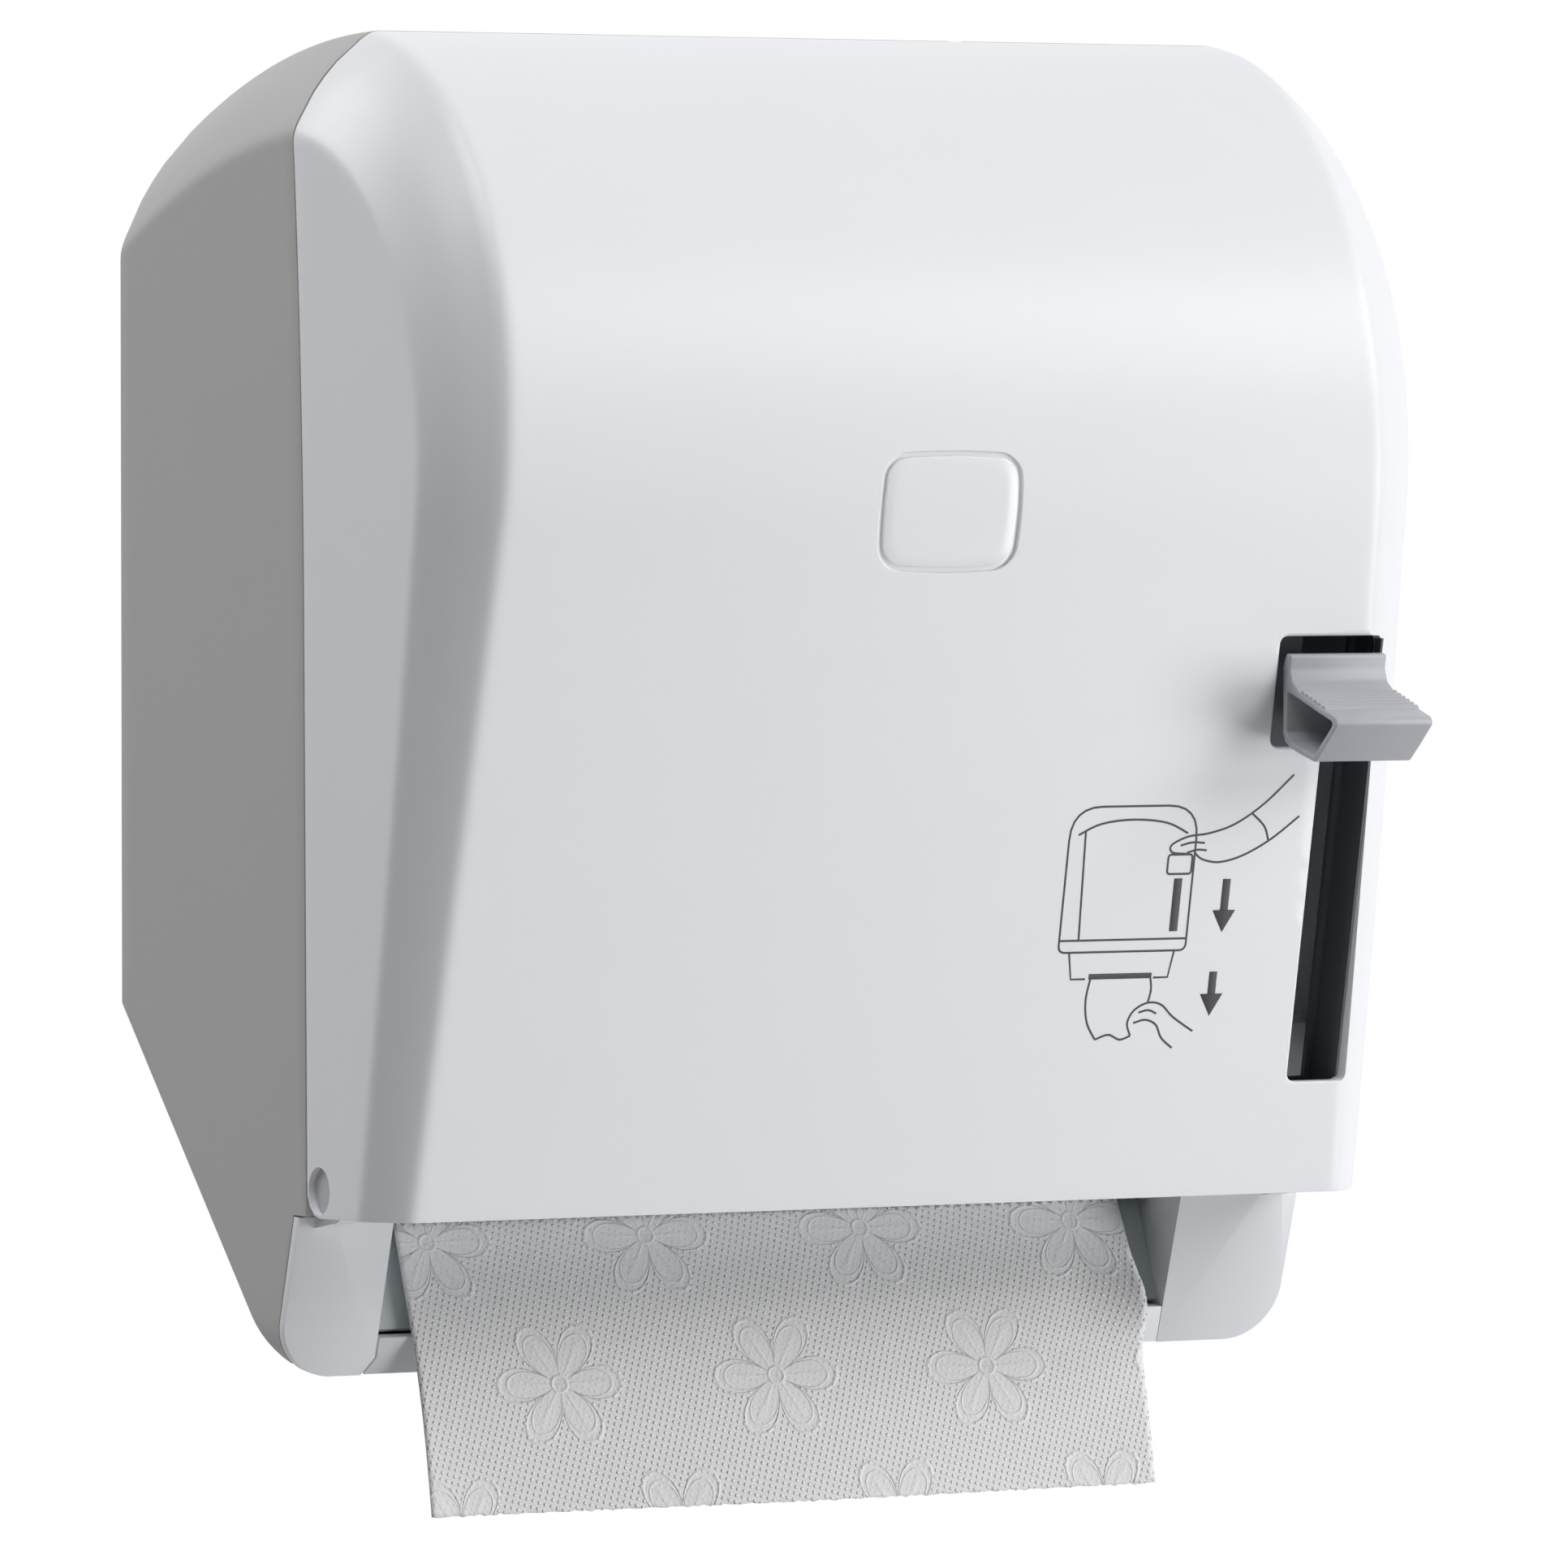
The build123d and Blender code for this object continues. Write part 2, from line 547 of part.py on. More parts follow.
# ---- cover -----------------------------------------------------------------------------------
def badge_prism(margin):
    """The badge's outline, or one inside it, drawn out from front to back."""
    outline = pillow(BADGE_WIDTH - 2 * margin, BADGE_HEIGHT - 2 * margin, BADGE_RADIUS - margin)
    return front_prism(Pos(0, BADGE_MIDDLE) * outline, -CASE_DEPTH - CLEAR, -CASE_DEPTH + CLEAR)


def lever_opening():
    """The window and the slot below it, drawn out through the cover's front."""
    window_mid = ((WINDOW_LEFT + WINDOW_RIGHT) / 2, (WINDOW_TOP + WINDOW_BOTTOM) / 2)
    window = RectangleRounded(WINDOW_WIDTH, WINDOW_HEIGHT, OPENING_RADIUS)
    slot_top = WINDOW_TOP - 2 * OPENING_RADIUS
    slot_mid = ((SLOT_LEFT + WINDOW_RIGHT) / 2, (slot_top + SLOT_BOTTOM) / 2)
    slot = RectangleRounded(SLOT_WIDTH, slot_top - SLOT_BOTTOM, OPENING_RADIUS)
    opening = Pos(*window_mid) * window + Pos(*slot_mid) * slot
    return front_prism(opening, -CASE_DEPTH - CLEAR, front_y(SLOT_BOTTOM) + 2 * WALL)


def make_front_cover():
    cover = cover_block() - cover_block(WALL, open_by=CLEAR)
    cover -= block(-HALF - CLEAR, HALF + CLEAR, -HINGE_DEPTH, 0, COVER_LIP - 2 * CLEAR, HINGE_HEIGHT)
    x_out = half_width(-HINGE_DEPTH)
    x_in = x_out - WALL
    # ears round the hinge pins
    ear = rod(HINGE_CENTRE, EAR_RADIUS, x_in, x_out)
    ear -= block(x_in, x_out, -HINGE_DEPTH - CLEAR, 0, HINGE_HEIGHT, HINGE_HEIGHT + CLEAR)
    hole = rod(HINGE_CENTRE, PIN_HEAD_RADIUS + RUNNING_GAP, x_in - WALL, x_out + WALL)
    cover += ear
    cover += mirror(ear, about=Plane.YZ)
    cover -= hole
    cover -= mirror(hole, about=Plane.YZ)
    cover -= lever_opening()
    cover -= front_strip(-BADGE_RECESS, BADGE_RECESS, BADGE_WIDTH) & badge_prism(0.0)
    return single(cover)


def make_badge_plate():
    return single(front_strip(0.0, BADGE_RECESS, BADGE_WIDTH) & badge_prism(BADGE_MARGIN))


def make_cover_catch():
    half = LATCH_WIDTH / 2 + CATCH_OVERLAP
    back = -CATCH_DEPTH + CATCH_THICK
    post = block(LATCH_X - half, LATCH_X + half, -CATCH_DEPTH, back, CATCH_BOTTOM, CASE_TOP)
    inner_top = Plane.YZ * Pos(ARC_Y, ARC_Z) * Circle(FRONT_RADIUS - WALL)
    return single(post & across(inner_top, 0, HALF))


# ---- housing ---------------------------------------------------------------------------------
def housing_outline(inset):
    """Side view of the housing, or of its hollow, which runs out through the open front."""
    arc = top_arc(inset)
    front_top = arc @ 0
    back_top = (-inset, (arc @ 1).Y)
    back_low = (-inset, slope_z(-inset, inset))
    if inset:
        front = -CASE_DEPTH
        return [
            arc,
            Line(arc @ 1, back_top),
            Line(back_top, back_low),
            Line(back_low, (front, slope_z(front, inset))),
            Line((front, slope_z(front, inset)), (front, front_top.Y)),
            Line((front, front_top.Y), front_top),
        ]
    toe_y = chin_y(CHIN_BOTTOM) + CHIN_WALL + SEAM
    toe = (toe_y, slope_z(toe_y))
    shoulder = (chin_y(CHIN_TOP) + CHIN_WALL + SEAM, CHIN_TOP)
    ledge = (-SPLIT_LOW_DEPTH, CHIN_TOP + SEAM)
    front = -SPLIT_TOP_DEPTH - 5 * WALL
    return [
        arc,
        Line(back_top, back_low),
        Line(back_low, toe),
        Line(toe, shoulder),
        Line(shoulder, ledge),
        Line(ledge, (front, ledge[1])),
        Line((front, ledge[1]), (front, SPLIT_TOP_Z)),
        Line((front, SPLIT_TOP_Z), front_top),
    ]


def split_tool():
    """Everything in front of the line where cover and housing meet."""
    upper, lower, top, low = split_edges(0.0)
    front = -CASE_DEPTH
    foot = CHIN_TOP - CLEAR
    roof = top[1] + CLEAR
    edges = [
        upper,
        lower,
        Line(low, (low[0], foot)),
        Line((low[0], foot), (front, foot)),
        Line((front, foot), (front, roof)),
        Line((front, roof), (top[0], roof)),
        Line((top[0], roof), top),
    ]
    return across(Plane.YZ * make_face(edges), -HALF - CLEAR, HALF + CLEAR)


def wall_screw_places():
    return [(sx * SCREW_SPACING_X / 2, sz * SCREW_SPACING_Z / 2) for sz in (-1, 1) for sx in (-1, 1)]


def wall_slot(x, z, length, radius, y_from, y_to):
    return front_prism(Pos(x, z) * SlotOverall(length, 2 * radius), y_from, y_to)


def flange_screw_places():
    """(x, z) of the screws that hold the feed module and the arm brackets on the back wall."""
    low = slope_z(-WALL, WALL)
    left = LEFT_OPENING - PLATE_THICK - FLANGE_WIDTH / 2
    right = RIGHT_OPENING + PLATE_THICK + FLANGE_WIDTH / 2
    places = [(x, z) for x in (left, right) for z in (low + FLANGE_SCREW_LOW, low + FLANGE_SCREW_HIGH)]
    for side in (-1, 1):
        x = arm_x(side) - side * BRACKET_SCREW_IN
        places += [(x, ROLL_HEIGHT - BRACKET_SCREW_UP), (x, ROLL_HEIGHT + BRACKET_SCREW_UP)]
    return places


def make_back_housing():
    shell = across(Plane.YZ * make_face(housing_outline(0.0)), -HALF, HALF)
    hollow = across(Plane.YZ * make_face(housing_outline(WALL)), -HALF + WALL, HALF - WALL)
    for side in (-1, 1):
        shell -= housing_bevel(side)
        hollow -= housing_bevel(side, WALL)
        shell -= bottom_corner_tool(side)
    shell -= split_tool()
    shell -= hollow
    pad_length = WALL_SLOT_LENGTH + 2 * PAD_MARGIN
    pad_radius = WALL_SLOT_RADIUS + PAD_MARGIN
    for x, z in wall_screw_places():
        shell += wall_slot(x, z, pad_length, pad_radius, -WALL - PAD_HEIGHT, -WALL)
    for x, z in wall_screw_places():
        shell -= wall_slot(x, z, WALL_SLOT_LENGTH, WALL_SLOT_RADIUS, -WALL - CLEAR, CLEAR)
    for x, z in flange_screw_places():
        shell -= Pos(x, -WALL, z) * Rot(90, 0, 0) * Cylinder(SCREW_SHANK_RADIUS, 2 * SCREW_BITE)
    slit_back = -SPLIT_TOP_DEPTH + KEY_SLIT_LENGTH
    shell -= block(LATCH_X - KEY_SLIT_WIDTH / 2, LATCH_X + KEY_SLIT_WIDTH / 2,
                   -SPLIT_TOP_DEPTH - WALL, slit_back, LATCH_TOP, CASE_TOP + CLEAR)
    return single(shell)


# ---- chin ------------------------------------------------------------------------------------
def chin_back_on_slope(inset):
    """Where the chin's back face meets the underside, or a surface that far inside the underside."""
    start = chin_y(0) + CHIN_WALL
    y = (start - CHIN_SLOPE * slope_z(0, inset)) / (1 + CHIN_SLOPE * SLOPE_RISE)
    return (y, slope_z(y, inset))


def chin_wall_points():
    return [(chin_y(CHIN_TOP), CHIN_TOP), (chin_y(CHIN_BOTTOM), CHIN_BOTTOM),
            chin_back_on_slope(0.0), (chin_y(CHIN_TOP) + CHIN_WALL, CHIN_TOP)]


def bar_region(gap):
    """Front view of the space that the bottom bar fills; its left end is cut on the slant."""
    left = LEFT_OPENING - gap
    right = RIGHT_OPENING + gap
    points = [(left, CHIN_TOP), (left, CHIN_BOTTOM + SLANT_START), (left - SLANT_ACROSS, CHIN_BOTTOM - 1),
              (right, CHIN_BOTTOM - 1), (right, CHIN_TOP)]
    return front_prism(make_face(Polyline(*points, close=True)), -CASE_DEPTH, -CLEAR)


def hinge_lug(lug_out):
    """The lug that carries a hinge pin; it stays behind the cheek's face where it shows."""
    lug = rod(HINGE_CENTRE, LUG_RADIUS, lug_out - LUG_THICK, lug_out)
    web = [polar(HINGE_CENTRE, LUG_RADIUS, 250), polar(HINGE_CENTRE, LUG_RADIUS, 70),
           (chin_y(CHIN_TOP) + CHIN_WALL, CHIN_TOP + LUG_WEB_UP),
           (chin_y(CHIN_TOP - LUG_WEB_DOWN) + CHIN_WALL, CHIN_TOP - LUG_WEB_DOWN),
           (chin_y(CHIN_TOP - WALL) + SEAM, CHIN_TOP - WALL)]
    return lug + slab(web, lug_out - LUG_THICK, lug_out)


def make_cheek(side):
    inner = LEFT_OPENING * -1 if side < 0 else RIGHT_OPENING
    back_y = chin_y(CHIN_TOP) + RETURN_DEPTH
    foot_y = chin_y(CHIN_BOTTOM) + CHIN_WALL - FOOT_SET_BACK
    return_wall = [(chin_y(CHIN_TOP), CHIN_TOP), (foot_y, slope_z(foot_y, WALL) + END_GAP),
                   (back_y, slope_z(back_y, WALL) + END_GAP), (back_y, CHIN_TOP)]
    lug_out = half_width(-HINGE_DEPTH) - WALL - LUG_GAP
    cheek = slab(chin_wall_points(), inner, HALF)
    cheek += slab(return_wall, inner, inner + PLATE_THICK)
    cheek += hinge_lug(lug_out)
    cheek -= rod(HINGE_CENTRE, PIN_SHANK_RADIUS, lug_out - LUG_THICK - 1, lug_out + 1)
    if side < 0:
        cheek = mirror(cheek, about=Plane.YZ)
        cheek -= bar_region(BAR_GAP)
    cheek -= bottom_corner_tool(side)
    return single(cheek)


def make_bottom_bar():
    top = CHIN_BOTTOM + BAR_HEIGHT
    lip = chin_back_on_slope(WALL)
    heel_y = lip[0] + LIP_DEPTH
    heel_z = slope_z(heel_y, WALL)
    points = [(chin_y(top), top), (chin_y(CHIN_BOTTOM), CHIN_BOTTOM), chin_back_on_slope(0.0), lip,
              (heel_y, heel_z), (heel_y, heel_z + BAR_THICK), (chin_y(top) + CHIN_WALL, top + SEAM)]
    bar = slab(points, LEFT_OPENING - 2 * SLANT_ACROSS, RIGHT_OPENING - RUNNING_GAP)
    return single(bar & bar_region(0.0))


def make_hinge_pin(side):
    lug_out = half_width(-HINGE_DEPTH) - WALL - LUG_GAP
    head_out = half_width(-HINGE_DEPTH) - PIN_HEAD_SUNK
    pin = rod(HINGE_CENTRE, PIN_HEAD_RADIUS, lug_out, head_out)
    pin += rod(HINGE_CENTRE, PIN_SHANK_RADIUS, lug_out - LUG_THICK, lug_out)
    return single(pin if side > 0 else mirror(pin, about=Plane.YZ))


# ---- paper roll and its arms -----------------------------------------------------------------
def arm_x(side):
    """Inner face of a roll arm."""
    edge = PAPER_LEFT if side < 0 else PAPER_RIGHT
    return edge + side * (END_GAP + HUB_COLLAR)


def arm_pivot_x(side):
    return arm_x(side) + side * ARM_THICK / 2


def make_roll_tube(outer, inner):
    """The wound paper, or the cardboard core inside it."""
    return single(tube(ROLL_CENTRE, outer, inner, PAPER_LEFT, PAPER_RIGHT))


def ordered_rod(centre, radius, x_one, x_other):
    return rod(centre, radius, min(x_one, x_other), max(x_one, x_other))


def arm_pivot_post(side, radius, height, z=ROLL_HEIGHT):
    """An upright cylinder on the line that a roll arm swings about."""
    return Pos(arm_pivot_x(side), -ARM_PIVOT_DEPTH, z) * Cylinder(radius, height)


def make_roll_arm(side):
    inner = arm_x(side)
    low, high = sorted((inner, inner + side * ARM_THICK))
    root = -ARM_PIVOT_DEPTH - KNUCKLE_RADIUS / 2
    arm = rod(ROLL_CENTRE, ARM_DISC_RADIUS, low, high)
    arm += slab([(root, ROLL_HEIGHT + ARM_ROOT_HEIGHT / 2), (root, ROLL_HEIGHT - ARM_ROOT_HEIGHT / 2),
                 (-ROLL_DEPTH, ROLL_HEIGHT - ARM_DISC_RADIUS), (-ROLL_DEPTH, ROLL_HEIGHT + ARM_DISC_RADIUS)],
                low, high)
    arm += arm_pivot_post(side, KNUCKLE_RADIUS, ARM_ROOT_HEIGHT)
    arm -= arm_pivot_post(side, ARM_PIN_RADIUS + RUNNING_GAP, 2 * ARM_ROOT_HEIGHT)
    arm -= rod(ROLL_CENTRE, HUB_STUB_RADIUS, low - 1, high + 1)
    return single(arm)


def make_roll_hub(side):
    """Collar, tapered nose that enters the core, and stub through the arm."""
    inner = arm_x(side)
    collar_to = inner - side * HUB_COLLAR
    cone_height = HUB_DEPTH + END_GAP
    cone = Cone(CORE_INNER_RADIUS - END_GAP, HUB_TIP_RADIUS, cone_height)
    hub = ordered_rod(ROLL_CENTRE, CORE_OUTER_RADIUS + CORE_WALL, inner, collar_to)
    hub += Pos(collar_to - side * cone_height / 2, *ROLL_CENTRE) * Rot(0, -side * 90, 0) * cone
    hub += ordered_rod(ROLL_CENTRE, HUB_STUB_RADIUS, inner, inner + side * (ARM_THICK + 1))
    return single(hub)


def make_arm_bracket(side):
    x = arm_pivot_x(side)
    half = ARM_ROOT_HEIGHT / 2
    ear = KNUCKLE_RADIUS
    plate_from, plate_to = sorted((x + side * ear, x - side * BRACKET_REACH))
    bracket = block(plate_from, plate_to, -WALL - FLANGE_THICK, -WALL,
                    ROLL_HEIGHT - half - BRACKET_EDGE, ROLL_HEIGHT + half + BRACKET_EDGE)
    for up in (-1, 1):
        near = ROLL_HEIGHT + up * (half + SIDE_GAP)
        low, high = sorted((near, near + up * BRACKET_EAR))
        bracket += block(x - ear, x + ear, -ARM_PIVOT_DEPTH, -WALL, low, high)
        bracket += arm_pivot_post(side, ear, BRACKET_EAR, (low + high) / 2)
    bracket -= arm_pivot_post(side, ARM_PIN_RADIUS, 2 * ARM_ROOT_HEIGHT)
    for sx, sz in flange_screw_places():
        bracket -= Pos(sx, -WALL, sz) * Rot(90, 0, 0) * Cylinder(SCREW_SHANK_RADIUS, ARM_PIVOT_DEPTH)
    return single(bracket)


def make_arm_pin(side):
    return single(arm_pivot_post(side, ARM_PIN_RADIUS, ARM_ROOT_HEIGHT + 2 * (SIDE_GAP + BRACKET_EAR)))


# ---- feed module -----------------------------------------------------------------------------
def side_plate_left_x(side):
    return LEFT_OPENING - PLATE_THICK if side < 0 else RIGHT_OPENING


def make_side_plate(side):
    left = side_plate_left_x(side)
    right = left + PLATE_THICK
    low = slope_z(-WALL, WALL)
    back_y = chin_y(CHIN_TOP) + RETURN_DEPTH + END_GAP
    front_edge = -FEED_DEPTH - FEED_RADIUS - 1
    under_chin = CHIN_TOP + END_GAP
    plate = slab([(-WALL, low + FLANGE_HEIGHT), (-WALL, low), (back_y, slope_z(back_y, WALL)),
                  (back_y, under_chin), (front_edge, under_chin), (front_edge, FEED_HEIGHT + 2 * BUSH_RADIUS),
                  (front_edge + FEED_TUBE_RADIUS, FEED_HEIGHT + 2 * FEED_RADIUS),
                  (FRAME_PIVOT[0], FRAME_PIVOT[1] + 2 * BUSH_RADIUS)], left, right)
    flange_from = left - FLANGE_WIDTH if side < 0 else right
    plate += block(flange_from, flange_from + FLANGE_WIDTH, -WALL - FLANGE_THICK, -WALL,
                   low + 1, low + FLANGE_HEIGHT)
    if side > 0:
        # horn that carries the lever's axle
        plate += slab([(-WALL, low + FLANGE_SCREW_HIGH), (-WALL, LEVER_PIVOT_Z + HORN_MARGIN),
                       (-LEVER_PIVOT_DEPTH + HORN_MARGIN / 2, LEVER_PIVOT_Z + HORN_MARGIN),
                       (-LEVER_PIVOT_DEPTH - HORN_MARGIN, LEVER_PIVOT_Z + AXLE_RADIUS),
                       (-LEVER_PIVOT_DEPTH - 2 * HORN_MARGIN, low + FLANGE_HEIGHT / 2)], left, right)
        plate -= rod(LEVER_PIVOT, AXLE_RADIUS, left - 1, right + 1)
    plate -= rod(FEED_CENTRE, BUSH_RADIUS, left - 1, right + 1)
    plate -= rod(FRAME_PIVOT, PIN_SHANK_RADIUS + RUNNING_GAP, left - 1, right + 1)
    for x, z in flange_screw_places():
        plate -= Pos(x, -WALL, z) * Rot(90, 0, 0) * Cylinder(SCREW_SHANK_RADIUS, 4 * FLANGE_THICK)
    return single(plate)


def make_shaft_bush(side):
    left = side_plate_left_x(side)
    collar_from = left + PLATE_THICK if side < 0 else left - BUSH_COLLAR
    bore = FEED_SHAFT_RADIUS + RUNNING_GAP
    bush = tube(FEED_CENTRE, BUSH_RADIUS, bore, left, left + PLATE_THICK)
    bush += tube(FEED_CENTRE, BUSH_RADIUS + 2, bore, collar_from, collar_from + BUSH_COLLAR)
    return single(bush)


def make_feed_shaft():
    """From just outside the left plate to the end of the clutch hub's shoulder."""
    return single(rod(FEED_CENTRE, FEED_SHAFT_RADIUS, LEFT_OPENING - PLATE_THICK - WALL, clutch_end() + WALL))


def sleeve_spans():
    pitch = (PAPER_RIGHT - PAPER_LEFT - SLEEVE_WIDTH) / (SLEEVE_COUNT - 1)
    return [(PAPER_LEFT + k * pitch, PAPER_LEFT + k * pitch + SLEEVE_WIDTH) for k in range(SLEEVE_COUNT)]


def make_feed_tube():
    return single(tube(FEED_CENTRE, FEED_TUBE_RADIUS, FEED_SHAFT_RADIUS,
                       PAPER_LEFT - TUBE_EXTRA, PAPER_RIGHT + TUBE_EXTRA))


def sleeves(centre, outer, inner):
    """Rubber sleeves side by side on a roller's tube."""
    return Compound([single(tube(centre, outer, inner, left, right)) for left, right in sleeve_spans()])


def make_feed_sleeves():
    return sleeves(FEED_CENTRE, FEED_RADIUS, FEED_TUBE_RADIUS)


def make_pinch_shaft():
    return single(rod(PINCH_CENTRE, PINCH_SHAFT_RADIUS, LEFT_OPENING + FRAME_GAP, RIGHT_OPENING - FRAME_GAP))


def make_pinch_tube():
    return single(tube(PINCH_CENTRE, PINCH_TUBE_RADIUS, PINCH_SHAFT_RADIUS, PAPER_LEFT - 2, PAPER_RIGHT + 2))


def make_pinch_sleeves():
    return sleeves(PINCH_CENTRE, PINCH_RADIUS, PINCH_TUBE_RADIUS)


def make_pinch_frame():
    """Two cheeks joined by a bar; it swings on stubs that turn in the side plates."""
    frame = rod(FRAME_BAR, FRAME_BAR_RADIUS, LEFT_OPENING + FRAME_GAP, RIGHT_OPENING - FRAME_GAP)
    outline = [polar(FRAME_PIVOT, FRAME_EYE_RADIUS, 150), polar(PINCH_CENTRE, PINCH_EYE_RADIUS, 190),
               polar(PINCH_CENTRE, PINCH_EYE_RADIUS, 290), polar(FRAME_BAR, FRAME_EYE_RADIUS, 320),
               polar(FRAME_BAR, FRAME_EYE_RADIUS, 60), polar(FRAME_PIVOT, FRAME_EYE_RADIUS, 40)]
    stub = FRAME_GAP + PLATE_THICK - SIDE_GAP
    for side in (-1, 1):
        inner = LEFT_OPENING + FRAME_GAP if side < 0 else RIGHT_OPENING - FRAME_GAP - FRAME_WALL
        outer = inner + FRAME_WALL
        cheek = slab(outline, inner, outer)
        cheek += rod(FRAME_PIVOT, FRAME_EYE_RADIUS, inner, outer)
        cheek += rod(PINCH_CENTRE, PINCH_EYE_RADIUS, inner, outer)
        cheek += rod(FRAME_BAR, FRAME_EYE_RADIUS, inner, outer)
        stub_from = inner - stub if side < 0 else outer
        cheek += rod(FRAME_PIVOT, PIN_SHANK_RADIUS, stub_from, stub_from + stub)
        cheek -= rod(PINCH_CENTRE, PINCH_SHAFT_RADIUS + RUNNING_GAP, inner - 1, outer + 1)
        frame += cheek
    return single(frame)


def coil(radius, wire, turns, length):
    """A round-wire coil along +Z from the origin."""
    path = Helix(pitch=length / turns, height=length, radius=radius)
    start = path @ 0
    section = Plane(origin=start, z_dir=path % 0) * Circle(wire)
    return sweep(section, path=path, is_frenet=True)


def make_pinch_springs():
    """Compression springs that push the frame's bar away from the sloping underside."""
    angle = math.radians(BACK_SLOPE)
    normal = (-math.sin(angle), math.cos(angle))
    clear = (FRAME_BAR[1] - slope_z(FRAME_BAR[0], WALL)) * math.cos(angle)
    lift = PINCH_SPRING_WIRE + SPRING_END_GAP
    length = clear - FRAME_BAR_RADIUS - 2 * lift
    foot_y = FRAME_BAR[0] - normal[0] * (clear - lift)
    foot_z = FRAME_BAR[1] - normal[1] * (clear - lift)
    springs = []
    for x in (PAPER_LEFT + PINCH_SPRING_IN, PAPER_RIGHT - PINCH_SPRING_IN):
        plane = Plane((x, foot_y, foot_z), x_dir=(1, 0, 0), z_dir=(0, normal[0], normal[1]))
        turns = coil(PINCH_SPRING_RADIUS, PINCH_SPRING_WIRE, PINCH_SPRING_TURNS, length)
        springs.append(single(plane * turns))
    return Compound(springs)


def web_direction():
    """Angles, seen along X, at which the paper meets and leaves the feed roller."""
    feed_r = FEED_RADIUS + END_GAP + PAPER_THICK / 2
    roll_r = ROLL_RADIUS + END_GAP + PAPER_THICK / 2
    dy = FEED_CENTRE[0] - ROLL_CENTRE[0]
    dz = FEED_CENTRE[1] - ROLL_CENTRE[1]
    down = math.degrees(math.atan2(dz, dy)) % 360
    swing = math.degrees(math.acos((roll_r + feed_r) / math.hypot(dy, dz)))
    exit_point = (chin_y(CHIN_BOTTOM + BAR_HEIGHT) - SHEET_CHIN_GAP, CHIN_BOTTOM + BAR_HEIGHT - 2)
    ey = exit_point[0] - FEED_CENTRE[0]
    ez = exit_point[1] - FEED_CENTRE[1]
    away = math.degrees(math.acos(feed_r / math.hypot(ey, ez)))
    leave = (math.degrees(math.atan2(ez, ey)) % 360) + away
    return feed_r, roll_r, down - swing, leave, exit_point


def make_paper_sheet():
    feed_r, roll_r, roll_angle, leave, exit_point = web_direction()
    start = polar(ROLL_CENTRE, roll_r, roll_angle)
    meet = polar(FEED_CENTRE, feed_r, roll_angle + 180)
    middle = polar(FEED_CENTRE, feed_r, (roll_angle - 180 + leave - 360) / 2)
    part = polar(FEED_CENTRE, feed_r, leave)
    end = (-SHEET_FREE_DEPTH, SHEET_FREE_HEIGHT)
    fall = (exit_point[0] - part[0], exit_point[1] - part[1])
    path = [Line(start, meet), ThreePointArc(meet, middle, part), Line(part, exit_point),
            TangentArc(exit_point, end, tangent=fall)]
    web = trace(Wire(path), line_width=PAPER_THICK)
    return single(across(Plane.YZ * web, PAPER_LEFT, PAPER_RIGHT))


def outgoing_paper():
    """Where the paper leaves the feed roller, its direction, and how far it runs to the chin."""
    feed_r, roll_r, roll_angle, leave, exit_point = web_direction()
    part = polar(FEED_CENTRE, feed_r, leave)
    length = math.hypot(exit_point[0] - part[0], exit_point[1] - part[1])
    along = ((exit_point[0] - part[0]) / length, (exit_point[1] - part[1]) / length)
    return part, along, length


def beside_paper(distance, ahead):
    """A point this far down along the outgoing paper and this far in front of it."""
    part, along, length = outgoing_paper()
    y = part[0] + along[0] * distance + along[1] * ahead
    return (y, part[1] + along[1] * distance - along[0] * ahead)


def make_tear_bar():
    """Toothed steel blade in front of the outgoing paper."""
    top = beside_paper(BLADE_DOWN, BLADE_AHEAD)
    part, along, length = outgoing_paper()
    plane = Plane((0, top[0], top[1]), x_dir=(1, 0, 0), z_dir=(0, along[1], -along[0]))
    left = LEFT_OPENING + RUNNING_GAP
    width = RIGHT_OPENING - LEFT_OPENING - 2 * RUNNING_GAP
    count = int(width / TOOTH_PITCH)
    pitch = width / count
    down = -1 if plane.y_dir.Z > 0 else 1
    points = [(left, 0), (left, down * BLADE_LENGTH)]
    for k in range(count):
        points.append((left + (k + 0.5) * pitch, down * (BLADE_LENGTH + TOOTH_HEIGHT)))
        points.append((left + (k + 1) * pitch, down * BLADE_LENGTH))
    points.append((left + width, 0))
    return single(extrude(plane * make_face(Polyline(*points, close=True)), amount=BLADE_THICK))


def make_front_rail():
    """Rail that the blade is fixed to."""
    back_top = beside_paper(BLADE_DOWN + RAIL_START, BLADE_AHEAD + BLADE_THICK)
    back_low = beside_paper(BLADE_DOWN + RAIL_START + RAIL_LENGTH, BLADE_AHEAD + BLADE_THICK)
    front = chin_y(CHIN_TOP) + CHIN_WALL + END_GAP
    return single(slab([back_top, (front, back_top[1]), (front, back_low[1]), back_low],
                       LEFT_OPENING, RIGHT_OPENING))


def make_paper_guide():
    """Bent sheet behind the outgoing paper, from the bar up towards the pinch roller."""
    part, along, length = outgoing_paper()
    low = length - GUIDE_END
    near = GUIDE_BEHIND
    far = GUIDE_BEHIND + GUIDE_THICK
    lead_top = GUIDE_START - GUIDE_LEAD / 2
    points = [beside_paper(GUIDE_START, -near), beside_paper(low, -near), beside_paper(low, -far),
              beside_paper(GUIDE_START + GUIDE_THICK, -far),
              beside_paper(lead_top + GUIDE_THICK, -far - GUIDE_LEAD),
              beside_paper(lead_top, -near - GUIDE_LEAD)]
    return single(slab(points, LEFT_OPENING + RUNNING_GAP, RIGHT_OPENING - RUNNING_GAP))


